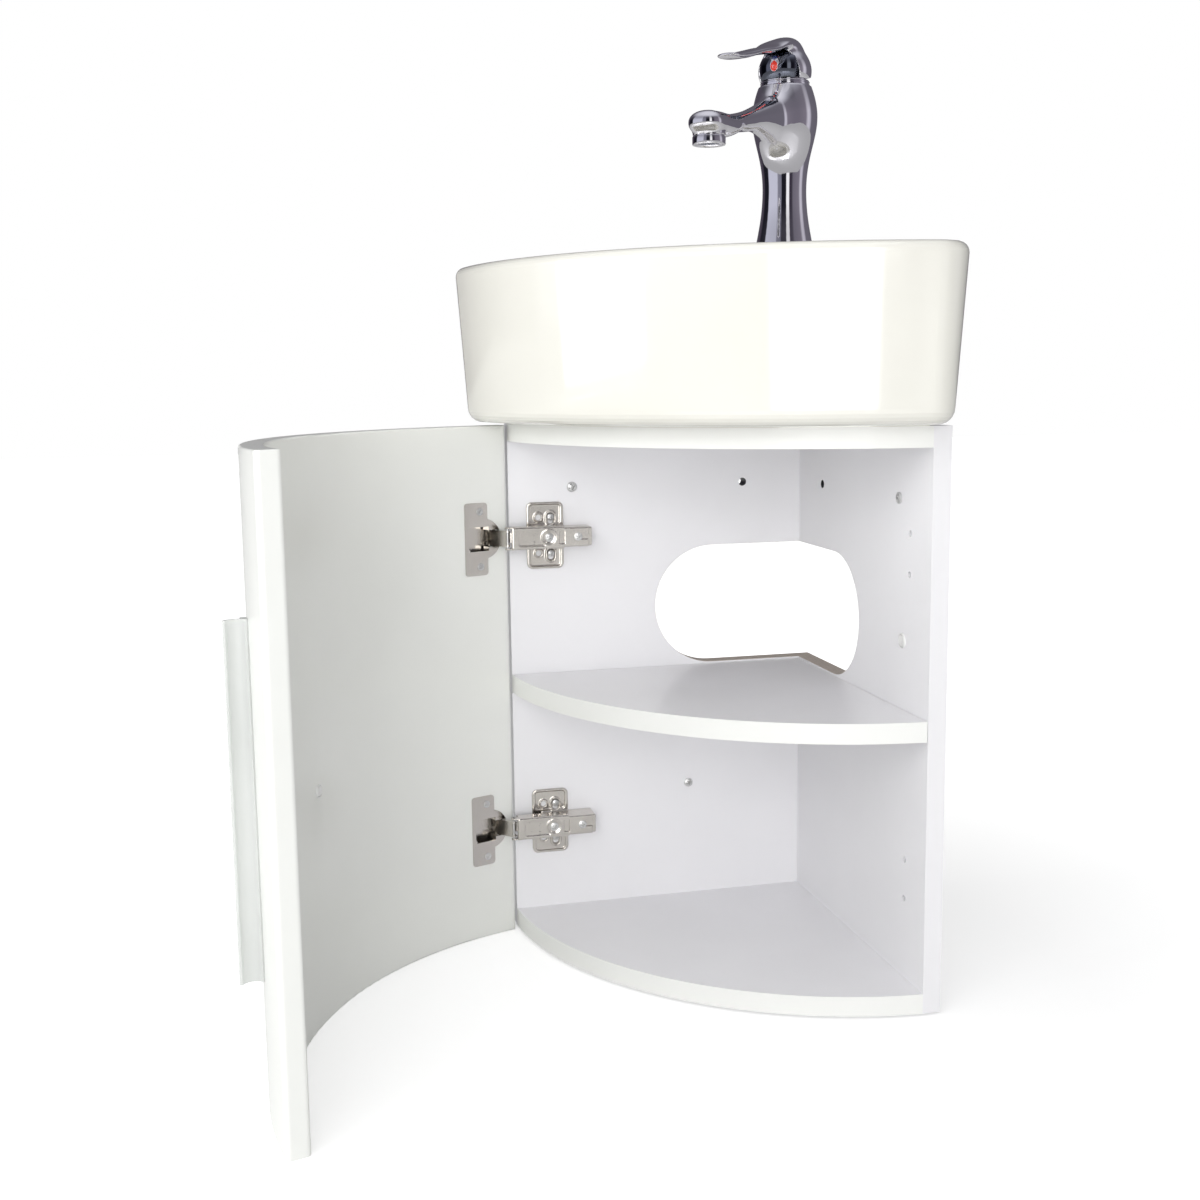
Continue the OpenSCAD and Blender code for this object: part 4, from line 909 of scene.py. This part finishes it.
tree.links.new(glow.outputs[0], both.inputs[1])
tree.links.new(both.outputs[0], tree.nodes["Material Output"].inputs[0])
floor_mesh.materials.append(mat)

world = bpy.data.worlds.new("studio")
bpy.context.scene.world = world
world.use_nodes = True
wt = world.node_tree
wt.nodes.clear()
way = wt.nodes.new("ShaderNodeTexCoord").outputs["Generated"]
parts = wt.nodes.new("ShaderNodeSeparateXYZ")
wt.links.new(way, parts.inputs[0])
azimuth = math_node(wt, "ARCTAN2", parts.outputs[1], parts.outputs[0])
around = map_range(wt, azimuth, -math.pi, math.pi, 0.0, 1.0)


def at(degrees):
    """Where an azimuth lies on the ramp, which starts at -180 degrees."""
    return ((degrees + 180.0) % 360.0) / 360.0


VIOLET, BLACK = (0.13, 0.12, 0.145), (0.012, 0.012, 0.018)
PALE, WHITE = (0.60, 0.61, 0.70), (1.0, 1.0, 1.0)
# what glossy surfaces see at each azimuth
WALLS = [
    (at(-180), PALE), (at(212), PALE), (at(216), (0.25, 0.25, 0.30)), (at(233), (0.2, 0.2, 0.25)),
    (at(236), BLACK), (at(258), BLACK), (at(261), WHITE), (at(273), WHITE),
    (at(276), (0.04, 0.03, 0.05)), (at(288), (0.05, 0.045, 0.06)), (at(296), (0.17, 0.155, 0.19)),
    (at(330), (0.22, 0.2, 0.24)), (at(340), (0.62, 0.60, 0.66)), (at(350), (0.55, 0.53, 0.6)),
    (at(359.0), (0.16, 0.15, 0.18)), (at(60), VIOLET), (at(120), (0.06, 0.05, 0.07)),
    (at(130), BLACK), (at(158), BLACK), (at(163), PALE),
]
WALLS.sort(key=lambda stop: stop[0])
walls = ramp(wt, around, WALLS)
height = map_range(wt, parts.outputs[2], 0.25, 0.85, 0.0, 1.0)
sky = ramp(wt, parts.outputs[2], [(0.3, (0.10, 0.095, 0.115)), (0.62, (0.16, 0.155, 0.18)),
                                  (0.78, (0.5, 0.5, 0.55)), (0.95, (0.75, 0.75, 0.8))])
studio = mix_colour(wt, height, walls, sky)
w_out = wt.nodes.new("ShaderNodeOutputWorld")
w_path = wt.nodes.new("ShaderNodeLightPath")
w_seen = wt.nodes.new("ShaderNodeBackground")
w_light = wt.nodes.new("ShaderNodeBackground")
w_gloss = wt.nodes.new("ShaderNodeBackground")
w_light.inputs["Color"].default_value = (1.0, 1.0, 1.0, 1.0)
w_light.inputs["Strength"].default_value = 0.40
wt.links.new(studio, w_gloss.inputs["Color"])
inner = wt.nodes.new("ShaderNodeMixShader")
outer = wt.nodes.new("ShaderNodeMixShader")
wt.links.new(w_path.outputs["Is Glossy Ray"], inner.inputs[0])
wt.links.new(w_light.outputs[0], inner.inputs[1])
wt.links.new(w_gloss.outputs[0], inner.inputs[2])
seen = math_node(wt, "MAXIMUM", w_path.outputs["Is Camera Ray"],
                 w_path.outputs["Is Transmission Ray"])
wt.links.new(seen, outer.inputs[0])
wt.links.new(inner.outputs[0], outer.inputs[1])
wt.links.new(w_seen.outputs[0], outer.inputs[2])
w_seen.inputs["Color"].default_value = (1.0, 1.0, 1.0, 1.0)
wt.links.new(outer.outputs[0], w_out.inputs[0])

area_light("front", (-0.8, -2.5, 0.7), 1.4, 20.0)
area_light("high_left", (-1.9, -1.9, 1.9), 1.4, 16.2)
area_light("low_left", (-2.6, -0.4, 0.9), 1.4, 23.0)
area_light("front_right", (0.9, -2.4, 0.5), 1.2, 2.0)
area_light("top", (-0.5, -0.9, 2.6), 1.6, 6.5)
area_light("low_front", (-0.7, -2.3, 0.2), 1.2, 4.0)
# the lamps light all pieces but the chrome ones, on which they would show as white bars
lit = bpy.data.collections.new("lit_by_lamps")
for obj in bpy.context.scene.objects:
    if obj.type == "MESH" and obj.data.materials and obj.data.materials[0] not in (CHROME, SMOKE):
        lit.objects.link(obj)
for obj in bpy.context.scene.objects:
    if obj.type == "LIGHT":
        obj.light_linking.receiver_collection = lit

bpy.context.scene.view_settings.view_transform = "Standard"
